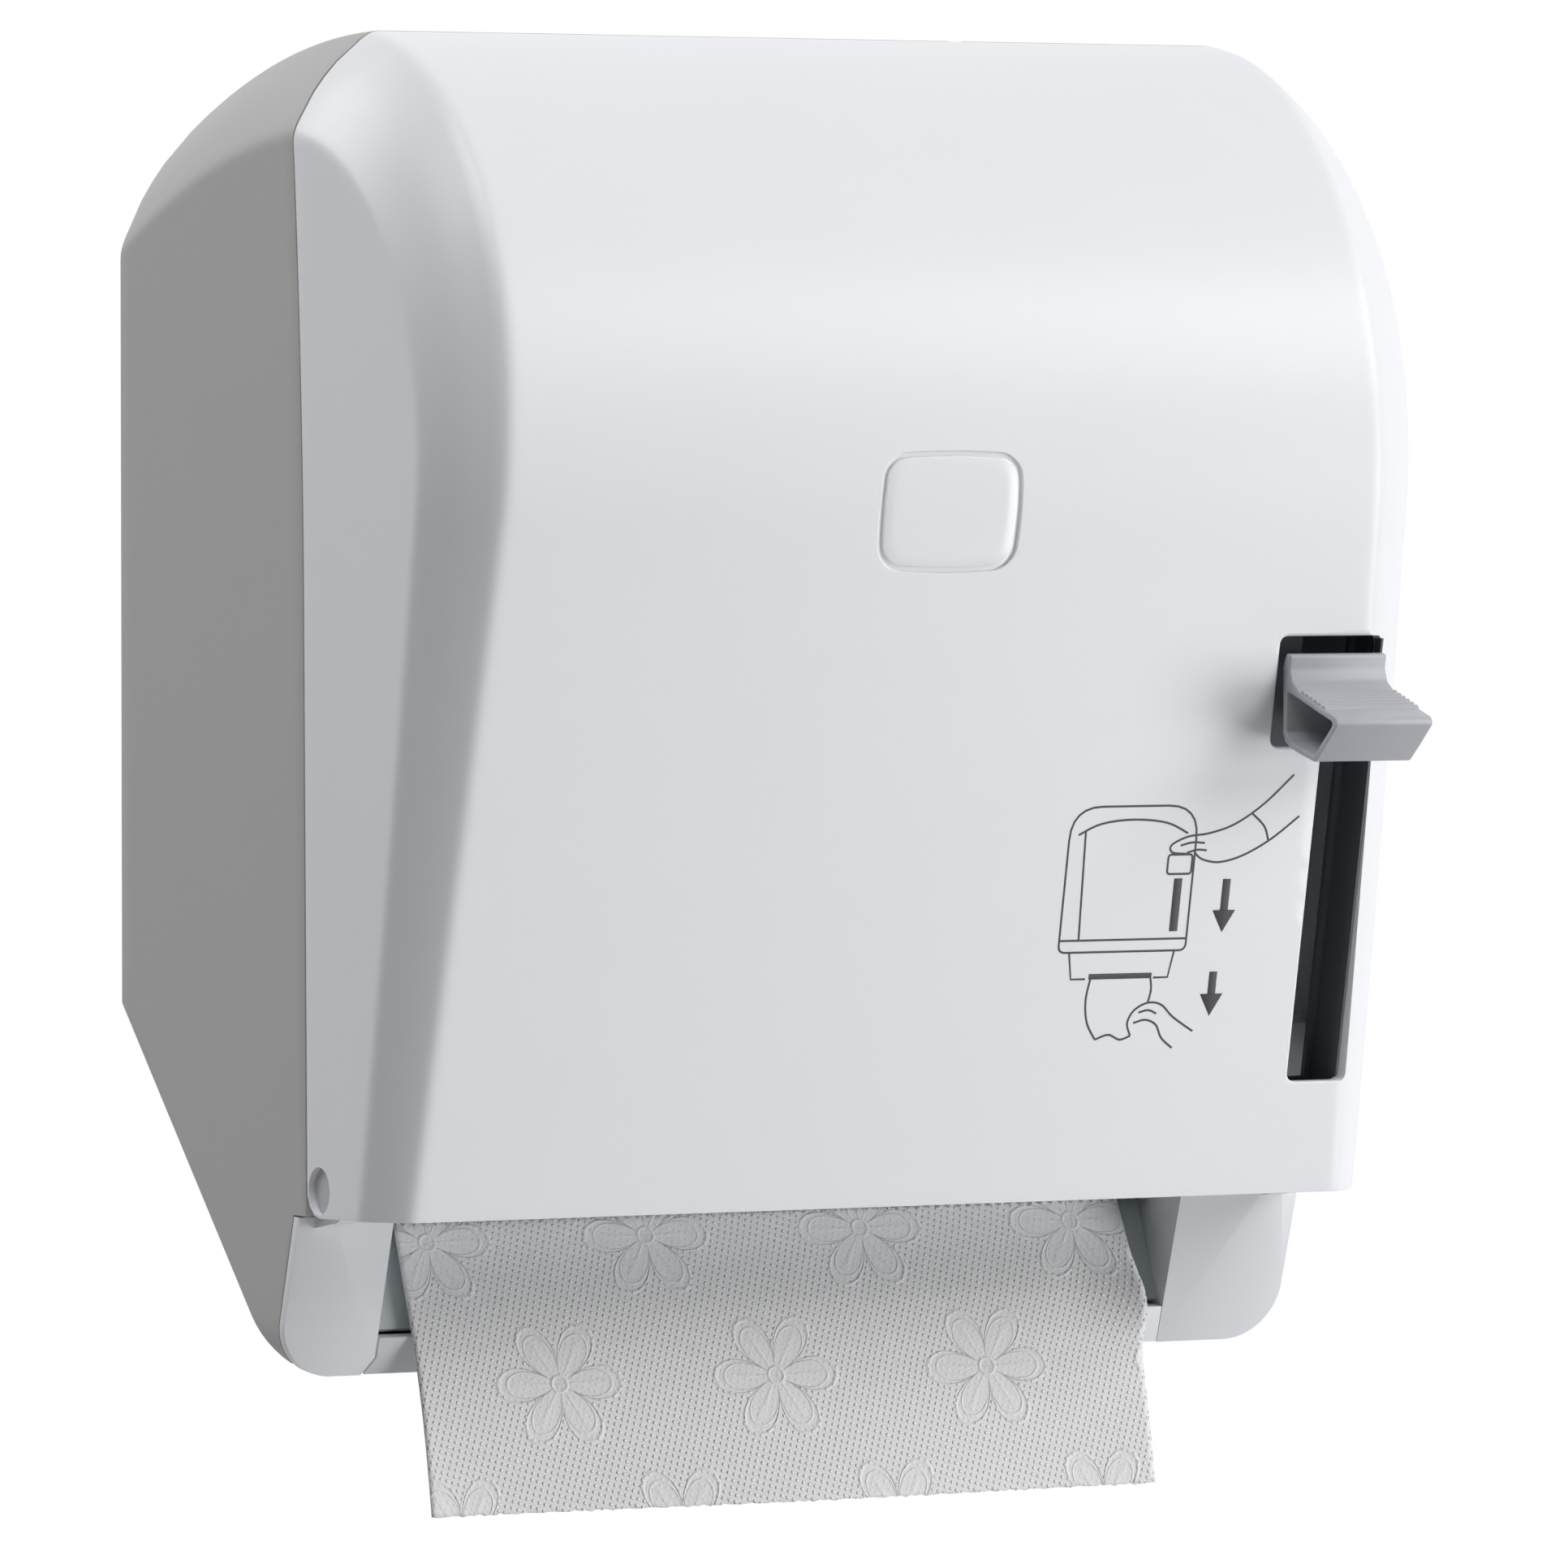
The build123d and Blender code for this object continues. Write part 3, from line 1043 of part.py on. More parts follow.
# ---- lever and gears -------------------------------------------------------------------------
def tooth_flank(pitch_radius, root_radius, tip_radius, teeth, thin):
    """Half a tooth as (radius, angle) points, the angle measured from the tooth's middle line."""
    phi = math.radians(PRESSURE_ANGLE)
    base = pitch_radius * math.cos(phi)
    half = math.pi / (2 * teeth) - thin / (2 * pitch_radius)
    inv_pitch = math.tan(phi) - phi
    points = []
    steps = 6
    low = max(root_radius, base)
    for k in range(steps + 1):
        r = low + (tip_radius - low) * k / steps
        a = math.acos(min(1.0, base / r))
        points.append((r, half + inv_pitch - (math.tan(a) - a)))
    if root_radius < base:
        points.insert(0, (root_radius, points[0][1]))
    return points


def gear_outline(centre, teeth, first_angle, count):
    """Toothed edge as (y, z) points for teeth centred at first_angle and then one pitch on each."""
    pitch_radius = MODULE * teeth / 2
    root = pitch_radius - 1.25 * MODULE
    tip = pitch_radius + 0.9 * MODULE
    flank = tooth_flank(pitch_radius, root, tip, teeth, BACKLASH / 2)
    points = []
    for k in range(count):
        middle = first_angle + 360 * k / teeth
        points += [polar(centre, r, middle - math.degrees(a)) for r, a in flank]
        points += [polar(centre, r, middle + math.degrees(a)) for r, a in reversed(flank)]
    return points


def mesh_angle():
    """Direction from the lever pivot to the pinion."""
    return math.degrees(math.atan2(FEED_CENTRE[1] - LEVER_PIVOT[1], FEED_CENTRE[0] - LEVER_PIVOT[0])) % 360


def make_drive_pinion():
    """Wheel that the sector turns; it is a little wider than the sector on both sides."""
    step = 360 / PINION_TEETH
    left = GEAR_LEFT - SIDE_GAP
    right = GEAR_LEFT + GEAR_WIDTH + SIDE_GAP
    points = gear_outline(FEED_CENTRE, PINION_TEETH, mesh_angle() + 180 + step / 2, PINION_TEETH)
    bore = rod(FEED_CENTRE, CLUTCH_RADIUS + RUNNING_GAP, left - 1, right + 1)
    return single(slab(points, left, right) - bore)


def clutch_end():
    return GEAR_LEFT + GEAR_WIDTH + 2 * SIDE_GAP + CLUTCH_RIM


def make_clutch_hub():
    rim_from = clutch_end() - CLUTCH_RIM
    hub = tube(FEED_CENTRE, CLUTCH_RADIUS, FEED_SHAFT_RADIUS, GEAR_LEFT - 2 * SIDE_GAP, rim_from)
    hub += tube(FEED_CENTRE, CLUTCH_RADIUS + CLUTCH_RIM, FEED_SHAFT_RADIUS, rim_from, clutch_end())
    return single(hub)


def neck_points():
    """The arm from its pivot out to the paddle, in side view."""
    back_y, low_z, high_z = paddle_socket()
    pivot_y, pivot_z = LEVER_PIVOT
    bend = pivot_y + (back_y - pivot_y) * 0.7
    knee = pivot_y + (back_y - pivot_y) * 0.3
    end_y = back_y - SOCKET_DEPTH
    top = [(pivot_y, pivot_z + LEVER_BOSS_RADIUS), (knee, pivot_z + LEVER_BOSS_RADIUS + 2),
           (bend, high_z - NECK_HEIGHT / 3), (back_y, high_z), (end_y, high_z)]
    underside = [(end_y, low_z), (back_y, low_z), (bend, low_z - NECK_HEIGHT / 3),
                 (knee, pivot_z - LEVER_BOSS_RADIUS - 1), (pivot_y, pivot_z - LEVER_BOSS_RADIUS)]
    return top + underside


def make_lever_arm():
    """Toothed sector on three spokes, the boss that turns on the axle, and the neck to the paddle."""
    step = 360 / SECTOR_TEETH_FULL
    first = mesh_angle() - math.ceil((LEVER_TRAVEL + SECTOR_MARGIN) / step) * step
    count = int(round((mesh_angle() + SECTOR_MARGIN - first) / step)) + 1
    last = first + (count - 1) * step
    inner = SECTOR_RADIUS - SECTOR_RIM
    teeth = gear_outline(LEVER_PIVOT, SECTOR_TEETH_FULL, first, count)
    rim_back = [polar(LEVER_PIVOT, inner, first + (last - first) * (1 - k / 8)) for k in range(9)]
    arm = slab(teeth + rim_back, GEAR_LEFT, GEAR_LEFT + GEAR_WIDTH)
    root = AXLE_RADIUS + 1
    for angle in (first + SPOKE_IN, (first + last) / 2, last - SPOKE_IN):
        spoke = [polar(LEVER_PIVOT, inner + 3, angle - 3), polar(LEVER_PIVOT, inner + 3, angle + 3),
                 polar(LEVER_PIVOT, root, angle + 60), polar(LEVER_PIVOT, root, angle - 60)]
        arm += slab(spoke, GEAR_LEFT, GEAR_LEFT + GEAR_WIDTH)
    arm += slab(neck_points(), GEAR_LEFT, GEAR_LEFT + NECK_WIDTH)
    boss_from = RIGHT_OPENING + PLATE_THICK + SIDE_GAP
    boss_to = MECH_OUTER - MECH_WALL - MECH_BOSS - SIDE_GAP
    arm += rod(LEVER_PIVOT, LEVER_BOSS_RADIUS, boss_from, boss_to)
    arm -= rod(LEVER_PIVOT, AXLE_RADIUS + RUNNING_GAP, boss_from - 1, boss_to + 1)
    return single(arm)


def make_lever_axle():
    return single(rod(LEVER_PIVOT, AXLE_RADIUS, RIGHT_OPENING, MECH_OUTER - MECH_WALL))


# side view of the paddle, (y, z) from the top of its back face
PADDLE_OUTER = [(-2.0, 0.0), (-4.8, -0.3), (-3.9, -4.1), (-5.2, -7.3), (-9.5, -10.2), (-19.8, -13.4),
                (-28.8, -16.0), (-30.4, -17.7), (-22.6, -24.1), (-17.6, -27.9), (-10.8, -26.4), (-4.2, -24.6),
                (-1.2, -23.1), (0.0, -20.7), (0.0, -3.3)]
PADDLE_HOLLOW = [(-2.2, -10.5), (-9.8, -12.6), (-19.3, -15.5), (-27.8, -17.8), (-17.1, -25.9),
                 (-4.8, -22.9), (-2.0, -20.5)]


def from_paddle(points):
    """Points of the paddle's side view in the frame of the case."""
    top = WINDOW_TOP - PADDLE_DROP
    back = front_y(top) + PADDLE_BEHIND
    return [(back + y, top + z) for y, z in points]


def paddle_socket():
    """Back of the paddle and the heights between which the arm enters it."""
    back_top, back_low = from_paddle([PADDLE_OUTER[-1], PADDLE_OUTER[-2]])
    middle = (back_top[1] + back_low[1]) / 2
    return back_top[0], middle - NECK_HEIGHT / 2, middle + NECK_HEIGHT / 2


def make_lever_paddle():
    """Hooked hollow grip, open at its left end, with ribs across its upper face."""
    outer = from_paddle(PADDLE_OUTER)
    paddle = slab(outer, PADDLE_LEFT, PADDLE_RIGHT)
    start, toward = outer[5], outer[4]
    length = math.hypot(toward[0] - start[0], toward[1] - start[1])
    for k in range(RIB_COUNT):
        share = (k * RIB_PITCH - RIB_START) / length
        y = start[0] + (toward[0] - start[0]) * share
        z = start[1] + (toward[1] - start[1]) * share
        paddle += rod((y, z - RIB_SUNK), RIB_RADIUS, PADDLE_LEFT, PADDLE_RIGHT)
    paddle -= slab(from_paddle(PADDLE_HOLLOW), PADDLE_LEFT - 1, PADDLE_RIGHT - PADDLE_WALL)
    back_y, low_z, high_z = paddle_socket()
    paddle -= block(GEAR_LEFT, GEAR_LEFT + NECK_WIDTH, back_y - SOCKET_DEPTH, back_y + 1, low_z, high_z)
    return single(paddle)


def make_lever_spring():
    """Torsion spring round the arm's boss, with one leg on the mechanism cover's back rim."""
    x_from = GEAR_LEFT + NECK_WIDTH + SPRING_WIRE + END_GAP
    plane = Plane((x_from, -LEVER_PIVOT_DEPTH, LEVER_PIVOT_Z), x_dir=(0, 1, 0), z_dir=(1, 0, 0))
    turns = coil(SPRING_COIL_RADIUS, SPRING_WIRE, SPRING_TURNS, SPRING_LENGTH)
    leg = Cylinder(SPRING_WIRE, SPRING_LEG)
    first_leg = Pos(SPRING_COIL_RADIUS, -SPRING_LEG / 2, 0) * Rot(90, 0, 0) * leg
    last_leg = Pos(SPRING_LEG / 2, -SPRING_COIL_RADIUS, SPRING_LENGTH) * Rot(0, 90, 0) * leg
    return single(plane * (turns + first_leg + last_leg))


def mech_points():
    """Side view of the mechanism cover, from the shroud's top over the gears to the shroud's foot."""
    back = -WALL - FLANGE_THICK
    front_top = front_y(WINDOW_TOP, WALL + SHROUD_DEPTH)
    front_low = front_y(SLOT_BOTTOM, WALL + SHROUD_DEPTH)
    feed_y, feed_z = FEED_CENTRE
    floor_end = feed_y + PITCH_RADIUS
    return [(front_top, WINDOW_TOP + 2 * SHROUD_MARGIN), (-LEVER_PIVOT_DEPTH - 20, LEVER_PIVOT_Z + 55),
            (back, LEVER_PIVOT_Z + 24), (back, slope_z(back, WALL) + END_GAP),
            (floor_end, slope_z(floor_end, WALL) + END_GAP), (feed_y - 4, feed_z - PITCH_RADIUS - 6),
            (feed_y - PITCH_RADIUS - 6, feed_z - 6), (front_low, SLOT_BOTTOM + 14)]


def make_mechanism_cover():
    """Hood over the gears, open to the front, the back and the floor."""
    points = mech_points()
    outline = side_polygon(points)
    left = RIGHT_OPENING + PLATE_THICK + 4 * SIDE_GAP
    inside = MECH_OUTER - MECH_WALL
    shell = across(outline, left, MECH_OUTER) - across(offset(outline, -MECH_WALL), left - 1, inside)
    top, corner, back_top, back_low, floor_end, foot, heel, low = points
    slant = MECH_WALL / math.cos(math.radians(BACK_SLOPE)) + SIDE_GAP
    front_mouth = [(top[0] - 1, top[1] - MECH_WALL), (low[0] - 1, low[1] + MECH_WALL),
                   (low[0] + 3 * MECH_WALL, low[1] + MECH_WALL), (top[0] + 3 * MECH_WALL, top[1] - MECH_WALL)]
    back_mouth = [(back_top[0] + 1, back_top[1] - MECH_WALL), (back_low[0] + 1, back_low[1] - MECH_WALL),
                  (floor_end[0], floor_end[1] - MECH_WALL), (floor_end[0], floor_end[1] + slant),
                  (back_low[0] - 2 * MECH_WALL, back_low[1] + slant),
                  (back_top[0] - 2 * MECH_WALL, back_top[1] - MECH_WALL)]
    shell -= slab(front_mouth, left - 1, inside)
    shell -= slab(back_mouth, left - 1, inside)
    shell += tube(LEVER_PIVOT, AXLE_RADIUS + WALL, AXLE_RADIUS, inside - MECH_BOSS, inside)
    return single(shell)


def leaning_block(ahead, back, z_low, z_high, x_from, x_to):
    """A block that follows the leaning front face, between two depths behind the cover's skin."""
    return slab([(front_y(z_high, WALL + ahead), z_high), (front_y(z_low, WALL + ahead), z_low),
                 (front_y(z_low, WALL + back), z_low), (front_y(z_high, WALL + back), z_high)], x_from, x_to)


def make_lever_shroud():
    """Charcoal channel behind the window and slot, with a slit at its back for the arm."""
    top = WINDOW_TOP + SHROUD_MARGIN
    low = SLOT_BOTTOM - SHROUD_MARGIN
    wall = MECH_WALL
    floor = SHROUD_DEPTH - wall
    shroud = leaning_block(0, SHROUD_DEPTH, low, top, SHROUD_LEFT, SHROUD_RIGHT)
    shroud -= leaning_block(-wall, floor, low + wall, top - wall, SHROUD_LEFT + wall, SHROUD_RIGHT - wall)
    shroud += leaning_block(floor, SHROUD_DEPTH, low, top, SHROUD_RIGHT - wall, MECH_OUTER - MECH_WALL)
    slit = NECK_WIDTH / 2 + SLIT_GAP
    middle = GEAR_LEFT + NECK_WIDTH / 2
    shroud -= leaning_block(floor - 1, SHROUD_DEPTH + 1, low + SHROUD_MARGIN, top - wall,
                            middle - slit, middle + slit)
    return single(shroud & cover_block(WALL + SHROUD_GAP, open_by=CLEAR))


# ---- lock ------------------------------------------------------------------------------------
def make_lock_latch():
    """Bent lever whose nose hooks behind the cover's catch."""
    left = LATCH_X - LATCH_WIDTH / 2
    right = LATCH_X + LATCH_WIDTH / 2
    underside = LATCH_PIVOT_HEIGHT - LATCH_THICK / 2
    hook = -CATCH_DEPTH - LATCH_GAP
    latch = slab([(-LATCH_NOSE_DEPTH, underside), (-LATCH_PIVOT_DEPTH + LATCH_TAIL, underside),
                  (-LATCH_PIVOT_DEPTH + LATCH_TAIL, LATCH_TOP), (hook, LATCH_TOP),
                  (hook, CATCH_BOTTOM + 5), (-LATCH_NOSE_DEPTH, CATCH_BOTTOM + 3)], left, right)
    latch += rod(LATCH_PIVOT, LATCH_PIN_RADIUS + 2, left, right)
    return single(latch - rod(LATCH_PIVOT, LATCH_PIN_RADIUS + RUNNING_GAP, left - 1, right + 1))


def latch_bracket_half():
    return LATCH_WIDTH / 2 + SIDE_GAP + BRACKET_WALL


def make_latch_bracket():
    """Fork under the housing's top that holds the latch's pin and the spring."""
    half = latch_bracket_half()
    gap = half - BRACKET_WALL
    front = -LATCH_PIVOT_DEPTH - LATCH_PIN_RADIUS - WALL
    back = -LATCH_PIVOT_DEPTH + LATCH_TAIL + WALL
    foot = LATCH_PIVOT_HEIGHT - 2 * LATCH_PIN_RADIUS
    post = block(LATCH_X - half, LATCH_X + half, front, back, foot, CASE_TOP)
    post -= block(LATCH_X - gap, LATCH_X + gap, front - 1, back + 1, foot - 1, LATCH_TOP + LATCH_SPRING_SPACE)
    post -= rod(LATCH_PIVOT, LATCH_PIN_RADIUS, LATCH_X - half - 1, LATCH_X + half + 1)
    under_top = across(Plane.YZ * make_face(housing_outline(WALL)), LATCH_X - half - 1, LATCH_X + half + 1)
    return single(post & under_top)


def make_latch_pin():
    half = latch_bracket_half()
    return single(rod(LATCH_PIVOT, LATCH_PIN_RADIUS, LATCH_X - half, LATCH_X + half))


def make_latch_spring():
    lift = LATCH_SPRING_WIRE + SPRING_END_GAP
    plane = Plane((LATCH_X, -LATCH_PIVOT_DEPTH + LATCH_SPRING_BACK, LATCH_TOP + lift), x_dir=(1, 0, 0))
    length = LATCH_SPRING_SPACE - 2 * lift
    return single(plane * coil(LATCH_SPRING_RADIUS, LATCH_SPRING_WIRE, LATCH_SPRING_TURNS, length))


# ---- fasteners -------------------------------------------------------------------------------
def make_module_screws():
    """Cross-head screws through the flanges into the back wall."""
    face = -WALL - FLANGE_THICK
    length = FLANGE_THICK + SCREW_BITE - END_GAP
    deep = SCREW_HEAD_HEIGHT
    lying = Rot(90, 0, 0)
    screws = []
    for x, z in flange_screw_places():
        head = Pos(x, face - deep / 2, z) * lying * Cylinder(SCREW_HEAD_RADIUS, deep)
        shank = Pos(x, face + length / 2, z) * lying * Cylinder(SCREW_SHANK_RADIUS, length)
        bars = Box(CROSS_LENGTH, deep, CROSS_WIDTH) + Box(CROSS_WIDTH, deep, CROSS_LENGTH)
        cross = Pos(x, face - deep, z) * bars
        screws.append(single(head + shank - cross))
    return Compound(screws)


# ---- write every sub-part --------------------------------------------------------------------
PARTS = {
    "front_cover": make_front_cover,
    "badge_plate": make_badge_plate,
    "cover_catch": make_cover_catch,
    "back_housing": make_back_housing,
    "left_cheek": lambda: make_cheek(-1),
    "right_cheek": lambda: make_cheek(1),
    "bottom_bar": make_bottom_bar,
    "hinge_pin_left": lambda: make_hinge_pin(-1),
    "hinge_pin_right": lambda: make_hinge_pin(1),
    "paper_roll": lambda: make_roll_tube(ROLL_RADIUS, CORE_OUTER_RADIUS),
    "roll_core": lambda: make_roll_tube(CORE_OUTER_RADIUS, CORE_INNER_RADIUS),
    "roll_arm_left": lambda: make_roll_arm(-1),
    "roll_arm_right": lambda: make_roll_arm(1),
    "roll_hub_left": lambda: make_roll_hub(-1),
    "roll_hub_right": lambda: make_roll_hub(1),
    "arm_bracket_left": lambda: make_arm_bracket(-1),
    "arm_bracket_right": lambda: make_arm_bracket(1),
    "arm_pin_left": lambda: make_arm_pin(-1),
    "arm_pin_right": lambda: make_arm_pin(1),
    "side_plate_left": lambda: make_side_plate(-1),
    "side_plate_right": lambda: make_side_plate(1),
    "shaft_bush_left": lambda: make_shaft_bush(-1),
    "shaft_bush_right": lambda: make_shaft_bush(1),
    "feed_shaft": make_feed_shaft,
    "feed_roller_tube": make_feed_tube,
    "feed_sleeves": make_feed_sleeves,
    "pinch_shaft": make_pinch_shaft,
    "pinch_roller_tube": make_pinch_tube,
    "pinch_sleeves": make_pinch_sleeves,
    "pinch_frame": make_pinch_frame,
    "pinch_springs": make_pinch_springs,
    "tear_bar": make_tear_bar,
    "front_rail": make_front_rail,
    "paper_guide": make_paper_guide,
    "paper_sheet": make_paper_sheet,
    "drive_pinion": make_drive_pinion,
    "clutch_hub": make_clutch_hub,
    "lever_arm": make_lever_arm,
    "lever_paddle": make_lever_paddle,
    "lever_axle": make_lever_axle,
    "lever_spring": make_lever_spring,
    "mechanism_cover": make_mechanism_cover,
    "lever_shroud": make_lever_shroud,
    "lock_latch": make_lock_latch,
    "latch_bracket": make_latch_bracket,
    "latch_pin": make_latch_pin,
    "latch_spring": make_latch_spring,
    "module_screws": make_module_screws,
}

os.makedirs("parts", exist_ok=True)
for name, make in PARTS.items():
    shape = make()
    shape.label = name
    export_step(shape, f"parts/{name}.step")
    print(name, round(shape.volume))
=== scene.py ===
import bisect
import math

import bmesh
import bpy
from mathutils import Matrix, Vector


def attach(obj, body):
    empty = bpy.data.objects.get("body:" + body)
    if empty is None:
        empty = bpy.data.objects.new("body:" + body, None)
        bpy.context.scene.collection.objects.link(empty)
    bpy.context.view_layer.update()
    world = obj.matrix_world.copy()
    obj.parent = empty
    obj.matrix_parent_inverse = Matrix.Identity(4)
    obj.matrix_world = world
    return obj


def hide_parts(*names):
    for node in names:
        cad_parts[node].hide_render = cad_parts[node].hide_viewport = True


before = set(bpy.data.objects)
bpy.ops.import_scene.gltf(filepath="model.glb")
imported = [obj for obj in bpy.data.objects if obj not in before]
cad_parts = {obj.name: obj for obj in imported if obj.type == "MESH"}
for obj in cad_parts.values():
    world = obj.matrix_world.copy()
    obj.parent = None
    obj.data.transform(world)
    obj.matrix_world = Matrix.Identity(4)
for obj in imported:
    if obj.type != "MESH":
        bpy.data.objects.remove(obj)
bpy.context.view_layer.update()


# ==== back housing ===============================================================================
# The housing is one deep tray of mid grey ABS that hangs on the wall by four screws. It is injection
# moulded in a spark-eroded tool, so its skin is matt, with a fine even grain and no gloss.
MM = 0.001
case_half = 145.0
wall = 3.0
split_low = (-129.4, -151.0)
split_mid = (-128.0, 0.0)
split_top = (-118.0, 149.1)
split_top_z, back_top_z = 146.53, 126.5
ledge_z = -158.1
corner_radius = 15.0
underside_z, underside_lean = -109.5, math.radians(39.8)


def split_y(z):
    """Depth of the line where cover and housing meet: straight up to the middle, then an arc."""
    rise = (split_mid[0] - split_low[0]) / (split_mid[1] - split_low[1])
    if z <= split_mid[1]:
        return split_mid[0] + rise * (z - split_mid[1])
    lean = math.hypot(1.0, rise)
    along = (rise / lean, 1.0 / lean)
    to_top = (split_top[0] - split_mid[0], split_top[1] - split_mid[1])
    sideways = to_top[0] * along[1] - to_top[1] * along[0]
    radius = (to_top[0] ** 2 + to_top[1] ** 2) / (2.0 * sideways)
    centre = (split_mid[0] + along[1] * radius, split_mid[1] - along[0] * radius)
    return centre[0] - math.sqrt(radius ** 2 - (z - centre[1]) ** 2)


def chin_y(z):
    """Depth of the chin's front, which leans back below the ledge."""
    return -125.0 + (-158.6 - z) * 0.35363


def new_piece(name, data):
    """A new object that holds this mesh, curve, lamp or camera, in the scene."""
    piece = bpy.data.objects.new(name, data)
    bpy.context.collection.objects.link(piece)
    return piece


def mesh_piece(name, made):
    """A new piece from a finished bmesh."""
    mesh = bpy.data.meshes.new(name)
    made.to_mesh(mesh)
    made.free()
    return new_piece(name, mesh)


def grid_mesh(name, rows):
    """A skin through rows of points in millimetres; doubled points are merged, its faces smooth."""
    made = bmesh.new()
    lines = [[made.verts.new(Vector(p) * MM) for p in row] for row in rows]
    for upper, lower in zip(lines[:-1], lines[1:]):
        for k in range(len(upper) - 1):
            made.faces.new((upper[k], upper[k + 1], lower[k + 1], lower[k]))
    bmesh.ops.remove_doubles(made, verts=made.verts, dist=0.02 * MM)
    bmesh.ops.dissolve_degenerate(made, edges=made.edges, dist=0.02 * MM)
    bmesh.ops.recalc_face_normals(made, faces=made.faces)
    return mesh_piece(name, made)


def apply_modifiers(piece):
    """Turns the piece with its modifiers into a plain mesh."""
    seen = bpy.context.evaluated_depsgraph_get()
    mesh = bpy.data.meshes.new_from_object(piece.evaluated_get(seen))
    piece.modifiers.clear()
    piece.data = mesh
    return piece


def eased(piece, width_mm, segments, degrees):
    """Rounds the edges of a piece that turn more than this many degrees."""
    ease = piece.modifiers.new("eased_edges", "BEVEL")
    ease.width = width_mm * MM
    ease.segments = segments
    ease.limit_method = "ANGLE"
    ease.angle_limit = math.radians(degrees)
    return apply_modifiers(piece)


def smooth_but_edges(piece, sharp_over=40.0):
    """Smooth faces, with edges that turn more than this many degrees kept crisp."""
    made = bmesh.new()
    made.from_mesh(piece.data)
    for face in made.faces:
        face.smooth = True
    for edge in made.edges:
        turn = edge.calc_face_angle(0.0)
        edge.smooth = turn < math.radians(sharp_over)
    made.to_mesh(piece.data)
    made.free()
    return piece


def linear(value):
    """An sRGB hex colour as the linear one that Blender's shaders take."""
    parts = [int(value[k:k + 2], 16) / 255.0 for k in (1, 3, 5)]
    turned = [c / 12.92 if c <= 0.04045 else ((c + 0.055) / 1.055) ** 2.4 for c in parts]
    return (*turned, 1.0)


def node(tree, kind, settings=None, inputs=None):
    """Adds a node, with its settings, and with values or links for its inputs."""
    made = tree.nodes.new(kind)
    for key, value in (settings or {}).items():
        setattr(made, key, value)
    for key, value in (inputs or {}).items():
        socket = made.inputs[key]
        if isinstance(value, bpy.types.NodeSocket):
            tree.links.new(value, socket)
        else:
            socket.default_value = value
    return made


def new_material(name):
    """A new material, and its empty node tree."""
    material = bpy.data.materials.new(name)
    material.use_nodes = True
    material.node_tree.nodes.clear()
    return material, material.node_tree


def two_tones(tree, share, colour, dark_share):
    """A colour, going to a darker tone of itself where the share is low."""
    dark = tuple(c * dark_share for c in linear(colour)[:3]) + (1.0,)
    return node(tree, "ShaderNodeMix", {"data_type": "RGBA"},
                {0: share, 6: dark, 7: linear(colour)}).outputs[2]


def surfaced(material, inputs):
    """Ends a material with a surface that has these inputs."""
    surface = node(material.node_tree, "ShaderNodeBsdfPrincipled", inputs=inputs)
    node(material.node_tree, "ShaderNodeOutputMaterial", inputs={"Surface": surface.outputs["BSDF"]})
    return material


def moulded_plastic(name, colour, roughness, grain_mm, grain_height_mm, mottle=0.012):
    """Injection-moulded plastic: an even colour with a trace of flow mottle, and the tool's grain."""
    material, tree = new_material(name)
    place = node(tree, "ShaderNodeTexCoord").outputs["Object"]
    flow = node(tree, "ShaderNodeTexNoise", inputs={"Vector": place, "Scale": 1.0 / (45.0 * MM),
                                                    "Detail": 2.0})
    grain = node(tree, "ShaderNodeTexNoise", inputs={"Vector": place, "Scale": 1.0 / (grain_mm * MM),
                                                     "Detail": 3.0, "Roughness": 0.6})
    bump = node(tree, "ShaderNodeBump", inputs={"Height": grain.outputs["Fac"], "Strength": 1.0,
                                                "Distance": grain_height_mm * MM})
    shine = node(tree, "ShaderNodeMapRange", inputs={
        "Value": grain.outputs["Fac"], "To Min": roughness - 0.04, "To Max": roughness + 0.04})
    return surfaced(material, {
        "Base Color": two_tones(tree, flow.outputs["Fac"], colour, 1.0 - 2.0 * mottle),
        "Roughness": shine.outputs["Result"], "IOR": 1.53, "Normal": bump.outputs["Normal"]})


def paint(piece, material):
    """Gives a piece its one material; a CAD node keeps its mesh and only changes its slots."""
    if piece.material_slots:
        for held in piece.material_slots:
            held.material = material
    else:
        piece.data.materials.append(material)
    return piece


def fit(piece, body, slot, material, *stands_for):
    """Gives a finished piece its material and its body, and hides the nodes it stands for; the slot is not
    used.
    """
    paint(piece, material)
    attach(piece, body)
    if stands_for:
        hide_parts(*stands_for)
    return piece


def ramp(value, start, length):
    """0 up to a start, then rising to 1 over this length."""
    return min(max((value - start) / length, 0.0), 1.0)


def between(low, high, share):
    """A point a share of the way from one to another."""
    return tuple(p + (q - p) * share for p, q in zip(low, high))


def spots_along(line):
    """Distances from a line's start to each of its points."""
    spots = [0.0]
    for a, b in zip(line[:-1], line[1:]):
        spots.append(spots[-1] + math.dist(a, b))
    return spots


def at_lengths(line, lengths):
    """Points of a line at these growing distances from its start."""
    spots = spots_along(line)
    found = []
    leg = 0
    for at in lengths:
        at = min(max(at, 0.0), spots[-1])
        while leg < len(line) - 2 and spots[leg + 1] < at:
            leg += 1
        share = (at - spots[leg]) / max(spots[leg + 1] - spots[leg], 1e-9)
        found.append(between(line[leg], line[leg + 1], share))
    return found


def spread(line, shares):
    """Points of a line at these shares of its length."""
    total = spots_along(line)[-1]
    return at_lengths(line, [total * share for share in shares])


